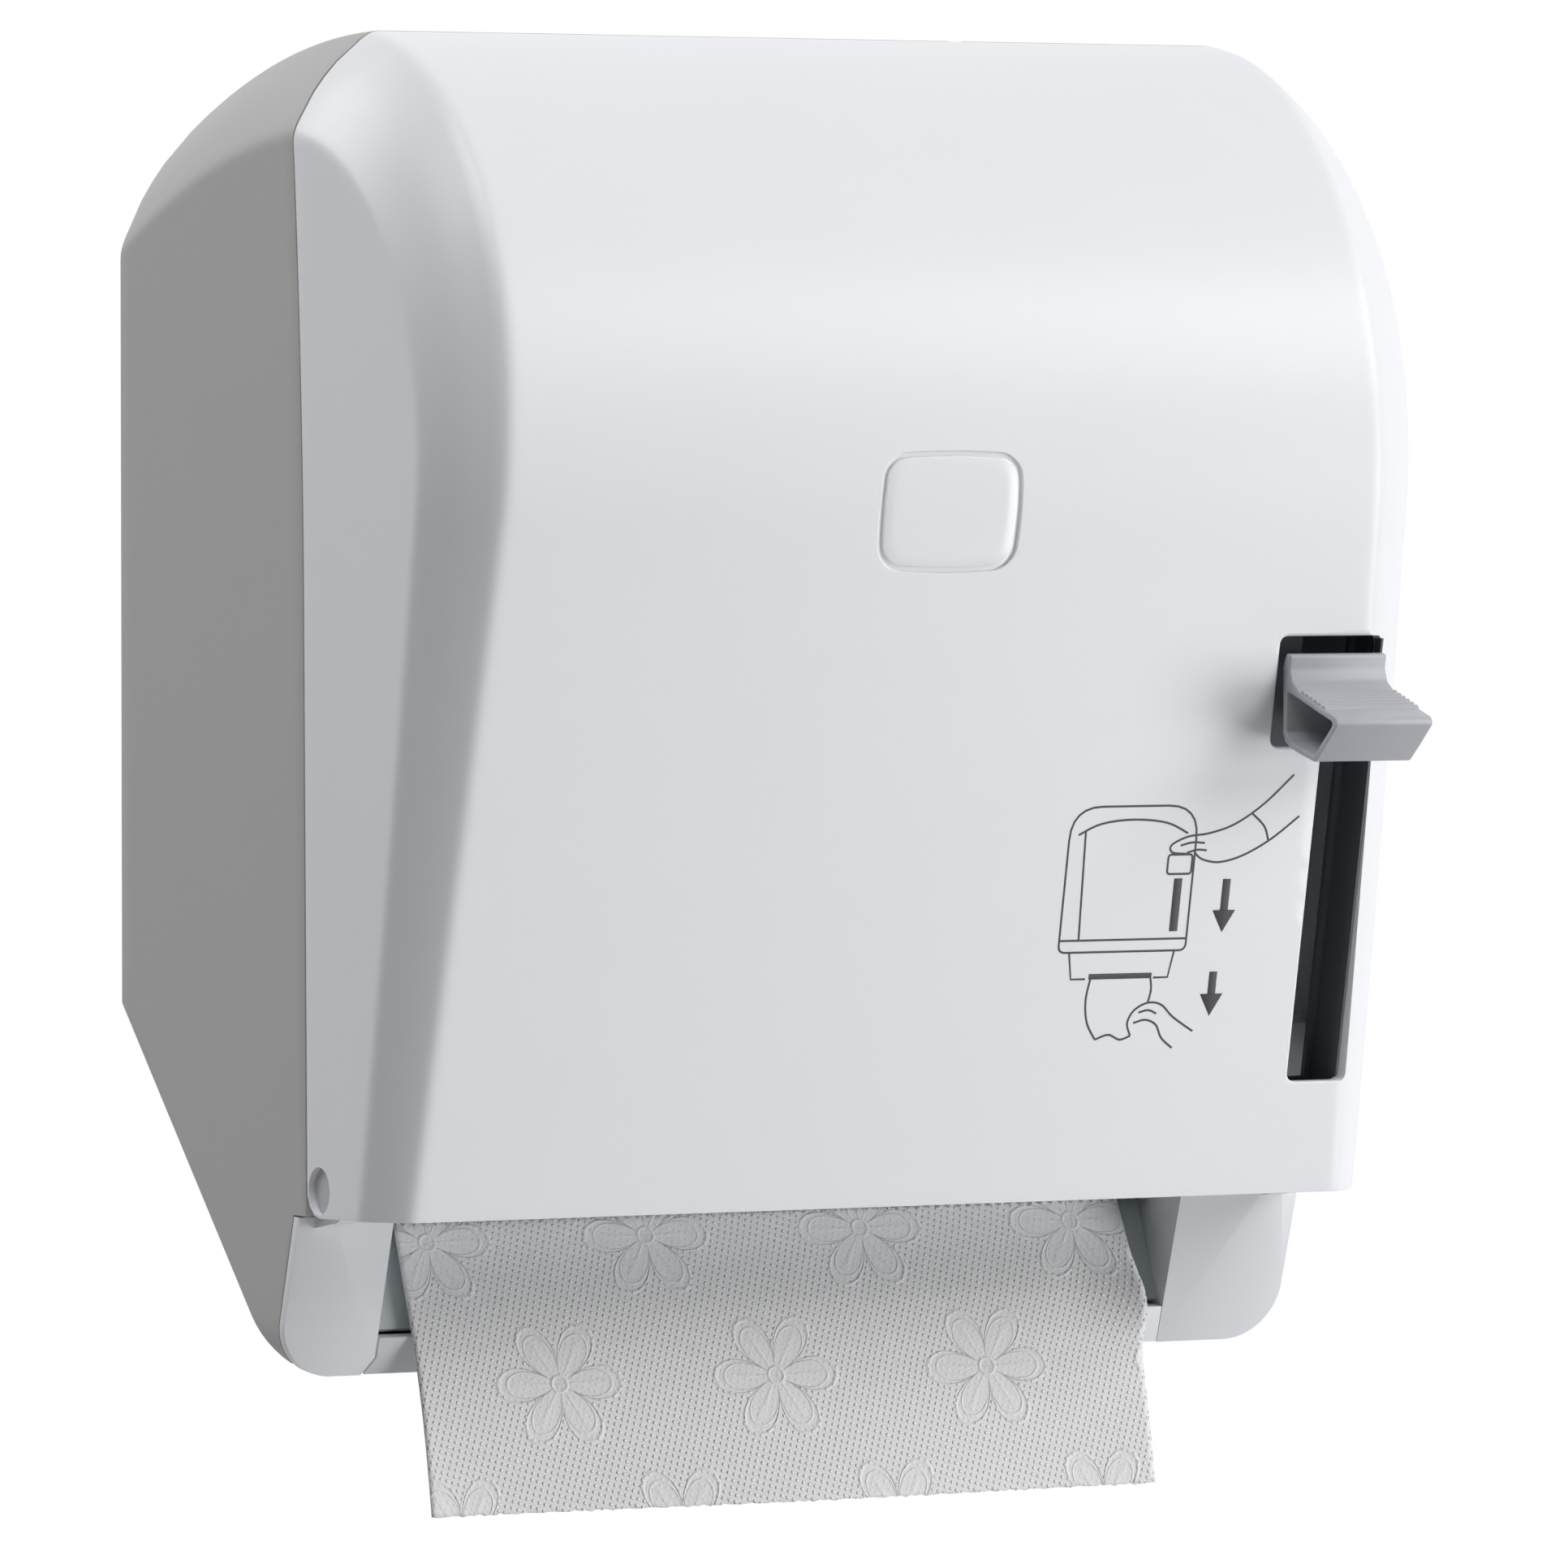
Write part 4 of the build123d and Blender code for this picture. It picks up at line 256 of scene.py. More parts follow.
def softened(path, reach, step=0.25):
    """A path of points with its corners rounded over this reach, as evenly spaced points."""
    total = spots_along(path)[-1]
    count = int(total / step) + 1
    fine = at_lengths(path, [total * k / count for k in range(count + 1)])
    half_window = max(1, int(reach / step))
    for _ in range(2):
        summed = [(0.0, 0.0)]
        for p in fine:
            summed.append((summed[-1][0] + p[0], summed[-1][1] + p[1]))
        eased_line = []
        for k in range(len(fine)):
            w = min(half_window // 2, k, len(fine) - 1 - k)
            low, high = summed[k - w], summed[k + w + 1]
            eased_line.append(((high[0] - low[0]) / (2 * w + 1), (high[1] - low[1]) / (2 * w + 1)))
        fine = eased_line
    return fine


def crowned_chamfer(side_end, front_end, crown, count=12):
    """The bevel between a side and the front: an arc that bulges out by its crown."""
    across = (front_end[0] - side_end[0], front_end[1] - side_end[1])
    length = math.hypot(*across)
    outward = (across[1] / length, -across[0] / length)
    if outward[0] < 0:
        outward = (-outward[0], -outward[1])
    points = []
    for k in range(count + 1):
        t = k / count
        bulge = 4.0 * crown * t * (1.0 - t)
        points.append((side_end[0] + across[0] * t + outward[0] * bulge,
                       side_end[1] + across[1] * t + outward[1] * bulge))
    return points


def crossing(line, test):
    """Where a line of points first makes a test positive, as the rest of the line from there."""
    for k in range(1, len(line)):
        before, after = test(line[k - 1]), test(line[k])
        if before <= 0.0 < after:
            return [between(line[k - 1], line[k], -before / (after - before))] + line[k:]
    return line


# how far edges are softened, the bevel's width, its depth in front and at the back, how far the side
# is followed past it, how far the flat top stays clear of it, and where its creases get points
edge_soft = 3.4
bevel_across = 23.3
bevel_deep, bevel_deep_back = 27.0, 35.0
flank = 30.0
flat_end = 7.0
crease_steps = (-4.0, -3.0, -2.2, -1.4, -0.7, 0.0, 0.7, 1.4, 2.2, 3.0, 4.0)


def around_creases(inner, length):
    """Distances along a section at which its two creases and the bevel between them get points."""
    squeeze = min(1.0, 0.3 * length / crease_steps[-1])
    places = [inner + d * (squeeze if d > 0.0 else 1.0) for d in crease_steps]
    places += [inner + length * share for share in (0.36, 0.5, 0.64)]
    return places + [inner + length + d * (squeeze if d < 0.0 else 1.0) for d in crease_steps]


def housing_ring(y):
    """Points across half of the housing's top and bevel at a depth, from its middle outwards."""
    share = min(max(1.0 + y / -split_top[0], 0.0), 1.0)
    top_z = split_top_z - (split_top_z - back_top_z) * share ** 2
    deep = bevel_deep + (bevel_deep_back - bevel_deep) * share
    inner = case_half - bevel_across
    bevel = crowned_chamfer((case_half, deep), (inner, 0.0), 2.8)[::-1]
    path = softened([(0.0, 0.0)] + bevel + [(case_half, deep + flank)], edge_soft)
    length = spots_along(bevel)[-1]
    lengths = [(inner - flat_end) * k / 8.0 for k in range(9)]
    lengths += around_creases(inner, length)
    return [(x, y, top_z - depth) for x, depth in at_lengths(path, lengths)]


def housing_front(z):
    """Depth of the housing's front edge at a height."""
    if z > ledge_z:
        return split_y(z)
    cheek_wall, chin_gap = 3.4, 0.5
    return chin_y(z) + cheek_wall + chin_gap


depth_shares = [k / 20.0 for k in range(21)]
rings = [housing_ring(-126.0 + 126.0 * k / 42.0) for k in range(43)]
columns = []
for k in range(len(rings[0])):
    line = crossing([ring[k] for ring in rings], lambda p: p[1] - split_y(p[2]))
    columns.append(spread(line, depth_shares))
side_line = [(case_half, z) for z in (78.0, 60.0, 40.0, 20.0, 0.0, -20.0, -40.0, -60.0, -80.0, -95.0)]
side_line += [(case_half, underside_z - 6.0 * k) for k in range(9)]
side_line += [(case_half, z) for z in (ledge_z + 0.01, ledge_z - 0.01, -165.0, -172.0, -179.0, -186.3)]
for k in range(1, 7):
    bend = math.asin((186.3 - 197.82) / -corner_radius) * k / 6.0
    side_line.append((130.0 + corner_radius * math.cos(bend), -186.3 - corner_radius * math.sin(bend)))
for x, z in side_line:
    back_y = min(0.0, (z - underside_z) / math.tan(underside_lean))
    front_edge = housing_front(z)
    columns.append([(x, front_edge + (back_y - front_edge) * share, z) for share in depth_shares])
flat_back = sum(1 for column in columns if column[-1][1] > -0.001)
made = bmesh.new()
sides = []
for side in (1, -1):
    sides.append([[made.verts.new(Vector((side * x, y, z)) * MM) for x, y, z in column]
                  for column in columns])
for grid in sides:
    for one, other in zip(grid[:-1], grid[1:]):
        for k in range(len(one) - 1):
            made.faces.new((one[k], one[k + 1], other[k + 1], other[k]))
right_foot = [column[-1] for column in sides[0]]
left_foot = [column[-1] for column in sides[1]]
made.faces.new(right_foot[:flat_back] + left_foot[:flat_back][::-1])
for k in range(flat_back - 1, len(columns) - 1):
    made.faces.new((right_foot[k], left_foot[k], left_foot[k + 1], right_foot[k + 1]))
bmesh.ops.remove_doubles(made, verts=made.verts, dist=0.005 * MM)
bmesh.ops.dissolve_degenerate(made, edges=made.edges, dist=0.005 * MM)
bmesh.ops.recalc_face_normals(made, faces=made.faces)
back_faces = [face for face in made.faces if abs(face.normal.y) > 0.99 and face.calc_center_median().y > -MM]
if back_faces[0].normal.y < 0.0:
    bmesh.ops.reverse_faces(made, faces=made.faces)
housing = mesh_piece("housing_shell", made)


def thicken(piece, thickness, rim=0.6):
    """Gives a skin its wall, inwards, and eases the wall's edges."""
    shell = piece.modifiers.new("wall", "SOLIDIFY")
    shell.thickness = thickness * MM
    shell.offset = -1.0
    shell.use_even_offset = False
    shell.use_quality_normals = True
    return eased(apply_modifiers(piece), rim, 2, 42.0)


def cut(piece, tools, operation="DIFFERENCE"):
    """Cuts the tools' shapes out of a piece, or joins them to it, and clears the tools away."""
    for tool in tools:
        step = piece.modifiers.new("cut", "BOOLEAN")
        step.operation = operation
        step.solver = "EXACT"
        step.object = tool
        apply_modifiers(piece)
        bpy.data.objects.remove(tool)
    return piece


def loop_prism(name, loops):
    """A closed solid through loops of points in millimetres, capped at both ends."""
    made = bmesh.new()
    rings = [[made.verts.new(Vector(p) * MM) for p in loop] for loop in loops]
    count = len(rings[0])
    for near, far in zip(rings[:-1], rings[1:]):
        for k in range(count):
            after = (k + 1) % count
            made.faces.new((near[k], near[after], far[after], far[k]))
    made.faces.new(rings[0])
    made.faces.new(rings[-1])
    bmesh.ops.recalc_face_normals(made, faces=made.faces)
    return mesh_piece(name, made)


def stadium(x, z, length, radius):
    """Outline of an upright slot, seen from the front."""
    points = []
    for start, up in ((0.0, length / 2.0 - radius), (math.pi, radius - length / 2.0)):
        for k in range(13):
            a = start + math.pi * k / 12.0
            points.append((x + radius * math.cos(a), z + up + radius * math.sin(a)))
    return points


thicken(housing, wall)
screw_places = [(x, z) for x in (-80.0, 80.0) for z in (-75.0, 75.0)]
pad, screw_slot = (20.0, 7.25, (-4.5, -2.9)), (11.0, 2.75, (-9.0, 4.0))
for (length, radius, depths), operation in ((pad, "UNION"), (screw_slot, "DIFFERENCE")):
    cut(housing, [loop_prism("screw_place", [[(px, y, pz) for px, pz in stadium(x, z, length, radius)]
                                             for y in depths]) for x, z in screw_places], operation)
slit_left, slit_right = 43.45, 47.75
cut(housing, [loop_prism("key_slit", [[(slit_left, y, 130.0), (slit_right, y, 130.0), (slit_right, y, 160.0),
                                       (slit_left, y, 160.0)] for y in (-121.0, -115.5)])])
smooth_but_edges(housing)
matt_grey_abs = moulded_plastic("abs_matt_grey_moulded", "#B4B3B2", 0.55, 0.5, 0.02)
fit(housing, "base", "housing_grey", matt_grey_abs, "back_housing")


# ==== chin: two cheeks and the bottom bar ========================================================
# Two light grey ABS cheeks close the front under the cover, and a bar joins them below the paper.
# They are moulded with a satin skin and snap onto the housing; their edges are eased by a millimetre.
def rounded_copy(source, ease_mm):
    """A CAD node's shape, its flats merged into whole faces, with its edges eased."""
    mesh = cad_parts[source].data.copy()
    made = bmesh.new()
    made.from_mesh(mesh)
    bmesh.ops.remove_doubles(made, verts=made.verts, dist=0.005 * MM)
    bmesh.ops.dissolve_degenerate(made, edges=made.edges, dist=0.004 * MM)
    bmesh.ops.dissolve_limit(made, angle_limit=math.radians(0.6), verts=made.verts, edges=made.edges)
    made.to_mesh(mesh)
    made.free()
    mesh.materials.clear()
    return smooth_but_edges(eased(new_piece(source + "_eased", mesh), ease_mm, 3, 35.0))


satin_light_grey = moulded_plastic("abs_satin_light_grey_moulded", "#E4E6E9", 0.42, 0.4, 0.01)
satin_pin_grey = moulded_plastic("abs_satin_pin_grey_moulded", "#BDBEC0", 0.45, 0.4, 0.01)
for source, ease_mm, plastic in (
        ("left_cheek", 0.9, satin_light_grey), ("right_cheek", 0.9, satin_light_grey),
        ("bottom_bar", 0.7, satin_light_grey), ("hinge_pin_left", 0.5, satin_pin_grey),
        ("hinge_pin_right", 0.5, satin_pin_grey)):
    fit(rounded_copy(source, ease_mm), "base", "chin_grey", plastic, source)


# ==== paper roll and its core ====================================================================
# A full roll of white towelling is wound on a grey board core. Its two ends show the edges of the
# wound layers as fine rings round the core, and the sheet leaves it at the front.
roll_centre = (-100.0, 33.0)


def wound_paper(name, colour, layer_mm):
    """The cut end of a roll: rings at the layers' spacing, here about four layers to a ring."""
    material, tree = new_material(name)
    place = node(tree, "ShaderNodeTexCoord").outputs["Object"]
    about = node(tree, "ShaderNodeMapping", inputs={
        "Vector": place, "Location": (0.0, -roll_centre[0] * MM, -roll_centre[1] * MM)})
    flat = node(tree, "ShaderNodeVectorMath", {"operation": "MULTIPLY"},
                {0: about.outputs["Vector"], 1: (0.0, 1.0, 1.0)})
    away = node(tree, "ShaderNodeVectorMath", {"operation": "LENGTH"}, {0: flat.outputs["Vector"]})
    turns = node(tree, "ShaderNodeMath", {"operation": "MULTIPLY"},
                 {0: away.outputs["Value"], 1: 1.0 / (layer_mm * MM)})
    wave = node(tree, "ShaderNodeMath", {"operation": "PINGPONG"}, {0: turns.outputs["Value"], 1: 0.5})
    fibre = node(tree, "ShaderNodeTexNoise", inputs={"Vector": place, "Scale": 1.0 / (1.4 * MM),
                                                     "Detail": 4.0})
    rings = node(tree, "ShaderNodeMath", {"operation": "MULTIPLY_ADD"},
                 {0: wave.outputs["Value"], 1: 0.7, 2: fibre.outputs["Fac"]})
    bump = node(tree, "ShaderNodeBump", inputs={"Height": rings.outputs["Value"],
                                                "Distance": 0.12 * MM})
    return surfaced(material, {
        "Base Color": two_tones(tree, rings.outputs["Value"], colour, 0.82), "Roughness": 0.9,
        "Normal": bump.outputs["Normal"]})


paint(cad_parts["paper_roll"], wound_paper("towel_paper_wound_roll", "#F1F1F0", 1.2))
paint(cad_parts["roll_core"], wound_paper("grey_board_wound_core", "#A39078", 0.5))


# ==== carrier parts inside the case ==============================================================
# The roll arms, side plates, guide and rail are slate grey ABS, the gears natural acetal, the rollers
# ground rubber on steel shafts. They are plain functional mouldings and turned parts behind the mouth.
slate_abs = moulded_plastic("abs_slate_grey_moulded", "#949B9D", 0.5, 0.5, 0.015)
pale_slate_abs = moulded_plastic("abs_pale_slate_moulded", "#C9D0D2", 0.5, 0.5, 0.015)
acetal = moulded_plastic("acetal_natural_moulded", "#E6E5DF", 0.35, 0.8, 0.008)


def drawn_steel(name, colour, roughness):
    """Bright drawn steel: fine draw lines along X, seen as streaks in the gloss."""
    material, tree = new_material(name)
    place = node(tree, "ShaderNodeTexCoord").outputs["Object"]
    drawn = node(tree, "ShaderNodeMapping", inputs={"Vector": place, "Scale": (0.02, 1.0, 1.0)})
    lines = node(tree, "ShaderNodeTexNoise", inputs={"Vector": drawn.outputs["Vector"],
                                                     "Scale": 1.0 / (0.3 * MM), "Detail": 3.0})
    rough = node(tree, "ShaderNodeMapRange", inputs={
        "Value": lines.outputs["Fac"], "To Min": roughness - 0.08, "To Max": roughness + 0.08})
    bump = node(tree, "ShaderNodeBump", inputs={"Height": lines.outputs["Fac"], "Distance": 0.01 * MM})
    return surfaced(material, {
        "Base Color": linear(colour), "Metallic": 1.0, "Roughness": rough.outputs["Result"],
        "Normal": bump.outputs["Normal"]})


bright_steel = drawn_steel("steel_drawn_bright", "#C9C9CB", 0.32)
ground_rubber = moulded_plastic("rubber_ground_black", "#2B2B2C", 0.75, 0.3, 0.03)
inner_nodes = (
    (slate_abs, ["roll_arm_left", "roll_arm_right", "arm_bracket_left", "arm_bracket_right",
                 "pinch_frame", "latch_bracket"]),
    (pale_slate_abs, ["side_plate_left", "side_plate_right", "paper_guide", "front_rail"]),
    (acetal, ["roll_hub_left", "roll_hub_right", "shaft_bush_left", "shaft_bush_right", "drive_pinion",
              "clutch_hub", "lock_latch", "feed_roller_tube", "pinch_roller_tube"]),
    (bright_steel, ["arm_pin_left", "arm_pin_right", "feed_shaft", "pinch_shaft", "pinch_springs",
                    "tear_bar", "lever_axle", "lever_spring", "latch_pin", "latch_spring",
                    "module_screws"]),
    (ground_rubber, ["feed_sleeves", "pinch_sleeves"]),
)
for material, names in inner_nodes:
    for name in names:
        paint(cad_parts[name], material)


# ==== lever =====================================================================================
# The paddle is a satin mid grey ABS moulding with an open left end, ribbed on top so a hand doesn't
# slip. It is glued on the end of the lever's arm, which swings in the slot of the cover.
def rounded_outline(corners, count=6):
    """An outline with each corner (x, z, radius) rounded by an arc; the corners run anticlockwise."""
    points = []
    for k, (x, z, radius) in enumerate(corners):
        before, after = corners[k - 1], corners[(k + 1) % len(corners)]
        into = Vector((x - before[0], z - before[1])).normalized()
        away = Vector((after[0] - x, after[1] - z)).normalized()
        half_turn = 0.5 * into.angle(away)
        start = Vector((x, z)) - into * radius * math.tan(half_turn)
        end = Vector((x, z)) + away * radius * math.tan(half_turn)
        for step in range(count + 1):
            t = step / count
            ease = (1.0 - t) ** 2, 2.0 * t * (1.0 - t), t ** 2
            points.append((start.x * ease[0] + x * ease[1] + end.x * ease[2],
                           start.y * ease[0] + z * ease[1] + end.y * ease[2]))
    return points


# corners of the paddle and of its hollow in side view: y, z and the radius that rounds them
paddle_top = (-199.0, -14.3)
paddle_corners = [(-2.0, 0.0, 0.9), (-4.8, -0.3, 1.1), (-3.9, -4.1, 2.5), (-5.2, -7.3, 2.5),
                  (-9.5, -10.2, 3.0), (-19.8, -13.4, 4.0), (-28.8, -16.0, 2.2), (-30.4, -17.7, 1.5),
                  (-22.6, -24.1, 2.0), (-17.6, -27.9, 2.0), (-10.8, -26.4, 3.0), (-4.2, -24.6, 2.0),
                  (-1.2, -23.1, 1.5), (0.0, -20.7, 1.2), (0.0, -3.3, 1.5)]
hollow_corners = [(-2.0, -9.9, 0.7), (-9.5, -12.0, 1.5), (-19.3, -15.0, 2.0), (-28.0, -17.5, 1.0),
                  (-17.3, -26.0, 1.4), (-4.8, -23.0, 1.2), (-1.7, -20.5, 0.8)]
paddle_left, paddle_right, paddle_wall = 101.0, 129.2, 1.6


def side_solid(name, corners, x_from, x_to):
    """A bar along X whose side view has these rounded corners."""
    outline = rounded_outline([(paddle_top[0] + y, paddle_top[1] + z, r) for y, z, r in corners])
    return loop_prism(name, [[(x, y, z) for y, z in outline] for x in (x_from, x_to)])


paddle = side_solid("lever_paddle_grip", paddle_corners, paddle_left, paddle_right)
cut(paddle, [side_solid("hollow", hollow_corners, paddle_left - 4.0, paddle_right - paddle_wall)])
smooth_but_edges(eased(paddle, 0.45, 3, 50.0), 48.0)
satin_lever_grey = moulded_plastic("abs_satin_lever_grey_moulded", "#B3B4B9", 0.42, 0.4, 0.012)
fit(paddle, "lever", "lever_grey", satin_lever_grey, "lever_paddle")
paint(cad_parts["lever_arm"], satin_lever_grey)


def node_group(name, sockets):
    """An empty Geometry Nodes group with named inputs, and its input and output nodes."""
    tree = bpy.data.node_groups.new(name, "GeometryNodeTree")
    for label, kind in sockets.items():
        tree.interface.new_socket(label, in_out="INPUT", socket_type="NodeSocket" + kind)
    tree.interface.new_socket("Geometry", in_out="OUTPUT", socket_type="NodeSocketGeometry")
    return tree, tree.nodes.new("NodeGroupInput"), tree.nodes.new("NodeGroupOutput")


def grown(source, name, tree, values):
    """Runs a Geometry Nodes group on an object with these inputs, and keeps the mesh that it makes."""
    step = source.modifiers.new("grown", "NODES")
    step.node_group = tree
    for socket in tree.interface.items_tree:
        if socket.in_out == "INPUT" and socket.name in values:
            step[socket.identifier] = values[socket.name]
    seen = bpy.context.evaluated_depsgraph_get()
    mesh = bpy.data.meshes.new_from_object(source.evaluated_get(seen))
    bpy.data.objects.remove(source)
    return new_piece(name, mesh)


def group_end(tree, shape, given, made_out):
    """Ends a group with real geometry in the material that it is given."""
    real = node(tree, "GeometryNodeRealizeInstances", inputs={"Geometry": shape})
    coloured = node(tree, "GeometryNodeSetMaterial", inputs={
        "Geometry": real.outputs["Geometry"], "Material": given.outputs["Material"]})
    tree.links.new(coloured.outputs["Geometry"], made_out.inputs["Geometry"])


rib_tree, given, made_out = node_group("grip_ribs", {
    "Geometry": "Geometry", "Count": "Int", "First": "Vector", "Step": "Vector", "Length": "Vector",
    "Radius": "Float", "Material": "Material"})
spots = node(rib_tree, "GeometryNodeMeshLine", {"mode": "OFFSET"}, {
    "Count": given.outputs["Count"], "Start Location": given.outputs["First"],
    "Offset": given.outputs["Step"]})
rod_line = node(rib_tree, "GeometryNodeCurvePrimitiveLine", inputs={"End": given.outputs["Length"]})
rod_ring = node(rib_tree, "GeometryNodeCurvePrimitiveCircle", inputs={
    "Resolution": 18, "Radius": given.outputs["Radius"]})
rib = node(rib_tree, "GeometryNodeCurveToMesh", inputs={
    "Curve": rod_line.outputs["Curve"], "Profile Curve": rod_ring.outputs["Curve"], "Fill Caps": True})
ribs_set = node(rib_tree, "GeometryNodeInstanceOnPoints", inputs={
    "Points": spots.outputs["Mesh"], "Instance": rib.outputs["Mesh"]})
group_end(rib_tree, ribs_set.outputs["Instances"], given, made_out)
rib_slope = math.atan2(3.2, 10.3)
rib_pitch = 2.4 * MM
rib_first = (paddle_top[0] - 21.7, paddle_top[1] - 14.24)
ribs = grown(new_piece("rib_seed", bpy.data.meshes.new("rib_seed")), "lever_grip_ribs", rib_tree, {
    "Count": 6, "Radius": 1.12 * MM, "Material": satin_lever_grey,
    "First": ((paddle_left + 0.4) * MM, rib_first[0] * MM, rib_first[1] * MM),
    "Step": (0.0, rib_pitch * math.cos(rib_slope), rib_pitch * math.sin(rib_slope)),
    "Length": ((paddle_right - paddle_left - 0.8) * MM, 0.0, 0.0)})
smooth_but_edges(ribs, 60.0)
fit(ribs, "lever", "lever_grey", satin_lever_grey)


# ==== lever channel and gear cover ===============================================================
# Behind the cover's slot stands a charcoal ABS channel, and a plain box of the same plastic covers
# the gears. Both are matt, so the slot reads as a dark opening with a softly lit floor.
# This charcoal is the channel's own colour; the same material also paints the strip of shade on the slot's
# right inner wall, below.
charcoal_abs_and_painted_shade = moulded_plastic("abs_matt_charcoal_and_painted_shade", "#585E62", 0.6, 0.5, 0.02)
paint(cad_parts["lever_shroud"], charcoal_abs_and_painted_shade)
gear_box_grey = moulded_plastic("abs_matt_gear_box_grey", "#B4B8BB", 0.6, 0.5, 0.02)
paint(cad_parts["mechanism_cover"], gear_box_grey)


# ==== front cover ================================================================================
# The cover is one white ABS moulding that wraps from the lip over the rounded front to the top, with
# crowned bevels at both sides. Its tool was polished to a satin, so it shows soft wide reflections.
front_radius = 104.3
arc_centre = (-107.1, 42.8)
front_lean = math.radians(12.3)
tangent_point = (-209.006, 20.581)
lip_z = -157.4
seam = 0.5
face_length = (tangent_point[1] - lip_z) / math.cos(front_lean)
profile_length = 357.467
hinge = (-137.0, -151.0)
ear_radius = 7.1


def front_y(z):
    """Depth of the leaning lower front at a height."""
    return tangent_point[0] + (tangent_point[1] - z) * math.tan(front_lean)


def half_width(y):
    """Half the cover's width at a depth: its sides draw in towards the front."""
    return case_half - max(0.0, -128.0 - y) * math.tan(math.radians(3.5))


def profile_at(s):
    """Point (y, z) on the front's outline and its inward direction, s millimetres up from the lip."""
    if s <= face_length:
        lean_sin, lean_cos = math.sin(front_lean), math.cos(front_lean)
        return (front_y(lip_z) - s * lean_sin, lip_z + s * lean_cos), (lean_cos, lean_sin)
    a = math.pi + front_lean - (s - face_length) / front_radius
    return ((arc_centre[0] + front_radius * math.cos(a), arc_centre[1] + front_radius * math.sin(a)),
            (-math.cos(a), -math.sin(a)))


def cover_section(s):
    """Points across half of the cover's skin at a station, from its middle to just past the bevel."""
    (y, z), inward = profile_at(s)
    t = ramp(s, 0.0, profile_length)
    wide = 10.4 + 12.9 * t
    deep = 10.2 + 16.8 * t ** 1.5
    crown = 0.6 + 2.2 * t ** 2
    half = half_width(y + inward[0] * deep)
    inner = half - wide
    bevel = crowned_chamfer((half, deep), (inner, 0.0), crown)[::-1]
    draw_in = half_width(y + inward[0] * (deep + flank)) - half
    path = softened([(0.0, 0.0)] + bevel + [(half + draw_in, deep + flank)], edge_soft)
    length = spots_along(bevel)[-1]
    lengths = [(inner - flat_end) * k / 22.0 for k in range(23)]
    lengths += around_creases(inner, length)
    return [(x, y + inward[0] * depth, z + inward[1] * depth) for x, depth in at_lengths(path, lengths)]


stations = [cover_section(-12.0 + 3.0 * k) for k in range(129)]
row_shares = [k / 84.0 for k in range(85)]
skin_columns = []
for k in range(len(stations[0])):
    line = crossing([section[k] for section in stations], lambda p: p[2] - lip_z)
    line = line[::-1]
    line = crossing(line, lambda p: split_y(p[2]) - seam - p[1])[::-1]
    skin_columns.append(spread(line, row_shares))
top_of_side = skin_columns[-1][-1]
edge_line = [(hinge[0] + ear_radius * math.sin(a), hinge[1] - ear_radius * math.cos(a))
             for a in [math.radians(6.0 * k) for k in range(16)]]
edge_line += [(split_y(z) - seam, z) for z in [-150.0 + (top_of_side[2] + 150.0) * k / 60.0
                                              for k in range(1, 61)]]
edge_points = spread(edge_line, row_shares)
for share in [k / 12.0 for k in range(1, 13)]:
    column = []
    for k, near in enumerate(skin_columns[len(stations[0]) - 1]):
        far = edge_points[k]
        y = near[1] + (far[0] - near[1]) * share
        z = near[2] + (far[1] - near[2]) * share
        column.append((half_width(y) - (half_width(near[1]) - near[0]) * (1.0 - share), y, z))
    skin_columns.append(column)
cover_rows = []
for k in range(len(row_shares)):
    right = [column[k] for column in skin_columns]
    left = [(-x, y, z) for x, y, z in right[::-1]]
    cover_rows.append(left[:-1] + right)
cover = grid_mesh("front_cover_shell", cover_rows)
thicken(cover, wall, 0.5)


def lever_opening(grow, right_grow):
    """The window with the slot below it, grown outwards by this much, and by another on the right."""
    left, right, low, high = 99.0 - grow, 130.2 + right_grow, -38.7 - grow, -9.8 + grow
    slot_left, slot_low = 114.3 - grow, -127.4 - grow
    soft = 2.4 + grow
    return rounded_outline([(right, high, soft), (left, high, soft), (left, low, soft),
                            (slot_left, low, 1.4 - grow), (slot_left, slot_low, soft),
                            (right, slot_low, soft)])


def closed_by_rings(loops, face_y, depth):
    """Adds ever smaller rings to the last loop, so that the end follows the curved face at a depth."""
    last = loops[-1]
    middle = (sum(x for x, y, z in last) / len(last), sum(z for x, y, z in last) / len(last))
    for share in (0.85, 0.6, 0.3, 0.03):
        ring = []
        for x, y, z in last:
            ring_z = middle[1] + (z - middle[1]) * share
            ring.append((middle[0] + (x - middle[0]) * share, face_y(ring_z) + depth, ring_z))
        loops.append(ring)
    return loops


def face_y(z):
    """Depth of the cover's front in its middle: leaning below, on the big arc above."""
    if z < tangent_point[1]:
        return front_y(z)
    return arc_centre[0] - math.sqrt(front_radius ** 2 - (z - arc_centre[1]) ** 2)


